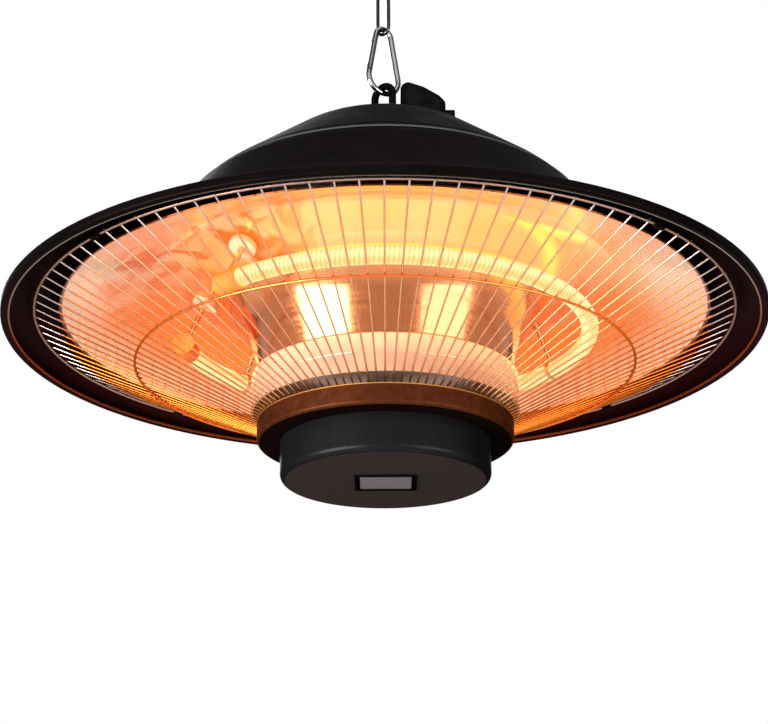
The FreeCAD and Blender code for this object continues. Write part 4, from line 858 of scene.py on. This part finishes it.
class HEATER_OT_lamp(bpy.types.Operator):
    """Ring lamp with its ceramic ends"""

    bl_idname = "heater.lamp"
    bl_label = "Lamp"

    def execute(self, context):
        look = finishes()
        dress(hot_tube("hot quartz"), "quartz_tube", "filament")
        ceramic = moulded("fired ceramic", look.ceramic_colour, roughness=0.6, relief=0.2)
        dress(ceramic, "lamp_bushings")
        # The end caps carry the lamp's orange glow painted into their colour
        glow_painted_ceramic = moulded("ceramic with painted glow", look.orange_colour, roughness=0.6, relief=0.2)
        dress(glow_painted_ceramic, "lamp_end_caps")
        nickel = bare_metal("warm nickel", look.post_colour, roughness=0.25, grain=140.0)
        dress(nickel, "lamp_posts", "lamp_clips")
        return {"FINISHED"}


class HEATER_OT_guard(bpy.types.Operator):
    """Chromed guard wires and rings"""

    bl_idname = "heater.guard"
    bl_label = "Guard"

    def execute(self, context):
        look = finishes()
        # Guard colours carry painted reflections, painted lamp glow and painted highlights
        dress(guard_plate("guard chrome"), "guard_wires", "guard_inner_ring")
        warm = bare_metal(
            "mid ring chrome", look.mid_ring_glow_colour, roughness=0.2, edge_tint=0.2, grain=300.0
        )
        dress(warm, "guard_mid_ring")
        shaded = bare_metal(
            "rim ring plate", look.outer_ring_glow_colour, roughness=0.3, edge_tint=0.2, grain=300.0
        )
        dress(shaded, "guard_outer_ring")
        return {"FINISHED"}


class HEATER_OT_hub(bpy.types.Operator):
    """Control hub, its window and seat"""

    bl_idname = "heater.hub"
    bl_label = "Hub"

    def execute(self, context):
        look = finishes()
        # Painted light: the hub's bottom is lighter and browner than its sides
        cup = coated_sheet(
            "hub coat",
            look.hub_colour,
            roughness=0.27,
            sheen=0.1,
            grain=1400.0,
            relief=0.1,
            wear=0.0,
            underside=(look.hub_bottom_light_colour, look.hub_bottom_light_colour),
        )
        dress(cup, "hub_cup", "guard_seat")
        # Painted lamp glow in the collar's coat, a painted highlight on its top edge, painted
        # shade underneath
        collar = coated_sheet(
            "collar coat",
            look.collar_coat_and_glow_colour,
            roughness=0.42,
            sheen=0.15,
            line=COLLAR_HIGHLIGHT,
            grain=240.0,
            relief=0.2,
            wear=0.0,
            underside=(look.collar_under_shade_colour, look.collar_under_shade_colour),
        )
        dress(collar, "hub_collar")
        bezel = coated_sheet(
            "bezel plastic", look.hood_colour, roughness=0.4, sheen=0.1, grain=90.0
        )
        dress(bezel, "window_bezel")
        dress(smoked_window("smoked window"), "sensor_window")
        return {"FINISHED"}


class HEATER_OT_electrics(bpy.types.Operator):
    """Terminal block, leads and control board"""

    bl_idname = "heater.electrics"
    bl_label = "Electrics"

    def execute(self, context):
        look = finishes()
        terminal = moulded("terminal plastic", look.terminal_colour, roughness=0.5)
        dress(terminal, "terminal_block", "board_connector")
        silicone = moulded("silicone lead", look.lead_colour, roughness=0.6, grain=200.0)
        dress(silicone, "lamp_leads", "supply_harness")
        laminate = moulded("board laminate", look.laminate_colour, roughness=0.45, grain=120.0)
        dress(laminate, "control_board")
        black = moulded("relay plastic", look.relay_colour, roughness=0.4)
        dress(black, "relay", "power_module", "ir_receiver")
        lens = moulded("red lens", look.lens_colour, roughness=0.2, relief=0.02)
        dress(lens, "status_led")
        return {"FINISHED"}


def light_softbox(box, target, power):
    """A rectangular softbox turned towards a point."""
    data = bpy.data.lights.new(box.name, "AREA")
    data.shape = "RECTANGLE"
    data.size = box.width
    data.size_y = box.height
    data.energy = power * box.share
    lamp = stage_object(box.name, data)
    lamp.location = box.place
    towards = Vector(target) - Vector(box.place)
    lamp.rotation_euler = towards.to_track_quat("-Z", "Y").to_euler()
    lamp.visible_glossy = box.mirrored


def shown_rays(tree):
    """1 for rays that show the background itself, 0 for those that only carry its light."""
    seen = place(tree, "ShaderNodeLightPath").outputs
    shown = math_node(tree, "MAXIMUM", seen["Is Camera Ray"], seen["Is Glossy Ray"])
    return math_node(tree, "MAXIMUM", shown, seen["Is Transmission Ray"])


def pale_floor(colour):
    """Studio floor, lifted to near white where it is seen, that still takes a shadow."""
    material = moulded("studio floor", colour, roughness=0.7, grain=600.0, relief=0.0, dust=0.0)
    tree = material.node_tree
    shader = tree.nodes["Principled BSDF"]
    shader.inputs["Emission Color"].default_value = WHITE
    lift = times(tree, shown_rays(tree), FLOOR_LIFT)
    tree.links.new(lift, shader.inputs["Emission Strength"])
    return material


def studio_world(level):
    """White room for the eye and for reflections, softer for the light it casts."""
    world = bpy.data.worlds.new("studio")
    bpy.context.scene.world = world
    world.use_nodes = True
    tree = world.node_tree
    background = tree.nodes["Background"]
    background.inputs["Color"].default_value = WHITE
    strength = remap(tree, shown_rays(tree), 0.0, 1.0, level, 1.0)
    tree.links.new(strength, background.inputs["Strength"])


class HEATER_OT_stage(bpy.types.Operator):
    """Camera, pale floor, softboxes and white room"""

    bl_idname = "heater.stage"
    bl_label = "Studio"

    def execute(self, context):
        settings = context.scene.heater_stage
        camera = bpy.data.cameras.new("camera")
        camera.sensor_fit = "HORIZONTAL"
        camera.sensor_width = SENSOR_WIDTH
        camera.lens = settings.lens
        camera.clip_start = NEAR_CLIP
        viewer = stage_object("camera", camera)
        viewer.location = settings.camera_place
        pitched = Matrix.Rotation(math.pi / 2 + settings.camera_pitch, 3, "X")
        rolled = Matrix.Rotation(settings.camera_roll, 3, "Z")
        viewer.rotation_euler = (pitched @ rolled).to_euler()
        context.scene.camera = viewer
        mesh = bpy.data.meshes.new("floor")
        outline = bmesh.new()
        bmesh.ops.create_grid(outline, x_segments=1, y_segments=1, size=FLOOR_REACH)
        outline.to_mesh(mesh)
        outline.free()
        floor = stage_object("floor", mesh)
        floor.location = (0.0, 0.0, settings.floor_height)
        floor.data.materials.append(pale_floor(settings.floor_colour))
        for box in SOFT_BOXES:
            light_softbox(box, (0.0, 0.0, RIM_HEIGHT), settings.box_power)
        studio_world(settings.sky_level)
        context.scene.view_settings.view_transform = "Standard"
        return {"FINISHED"}


STEPS = (
    HEATER_OT_stage,
    HEATER_OT_hanging_steel,
    HEATER_OT_cover,
    HEATER_OT_carrier,
    HEATER_OT_shade,
    HEATER_OT_reflector,
    HEATER_OT_lamp,
    HEATER_OT_guard,
    HEATER_OT_hub,
    HEATER_OT_electrics,
)


class HEATER_PT_panel(bpy.types.Panel):
    """Heater finishes and studio"""

    bl_label = "Hanging Heater"
    bl_idname = "HEATER_PT_panel"
    bl_space_type = "VIEW_3D"
    bl_region_type = "UI"
    bl_category = "Heater"

    def draw(self, context):
        for group in (context.scene.heater_finishes, context.scene.heater_stage):
            for key in group.bl_rna.properties.keys():
                if key not in {"rna_type", "name"}:
                    self.layout.prop(group, key)
        for step in STEPS:
            self.layout.operator(step.bl_idname)


CLASSES = (HeaterFinishes, HeaterStage, *STEPS, HEATER_PT_panel)


def register():
    for item in CLASSES:
        bpy.utils.register_class(item)
    bpy.types.Scene.heater_finishes = bpy.props.PointerProperty(type=HeaterFinishes)
    bpy.types.Scene.heater_stage = bpy.props.PointerProperty(type=HeaterStage)


def unregister():
    del bpy.types.Scene.heater_stage
    del bpy.types.Scene.heater_finishes
    for item in reversed(CLASSES):
        bpy.utils.unregister_class(item)


def main():
    register()
    for step in STEPS:
        group, name = step.bl_idname.split(".")
        getattr(getattr(bpy.ops, group), name)()


if __name__ == "__main__":
    main()
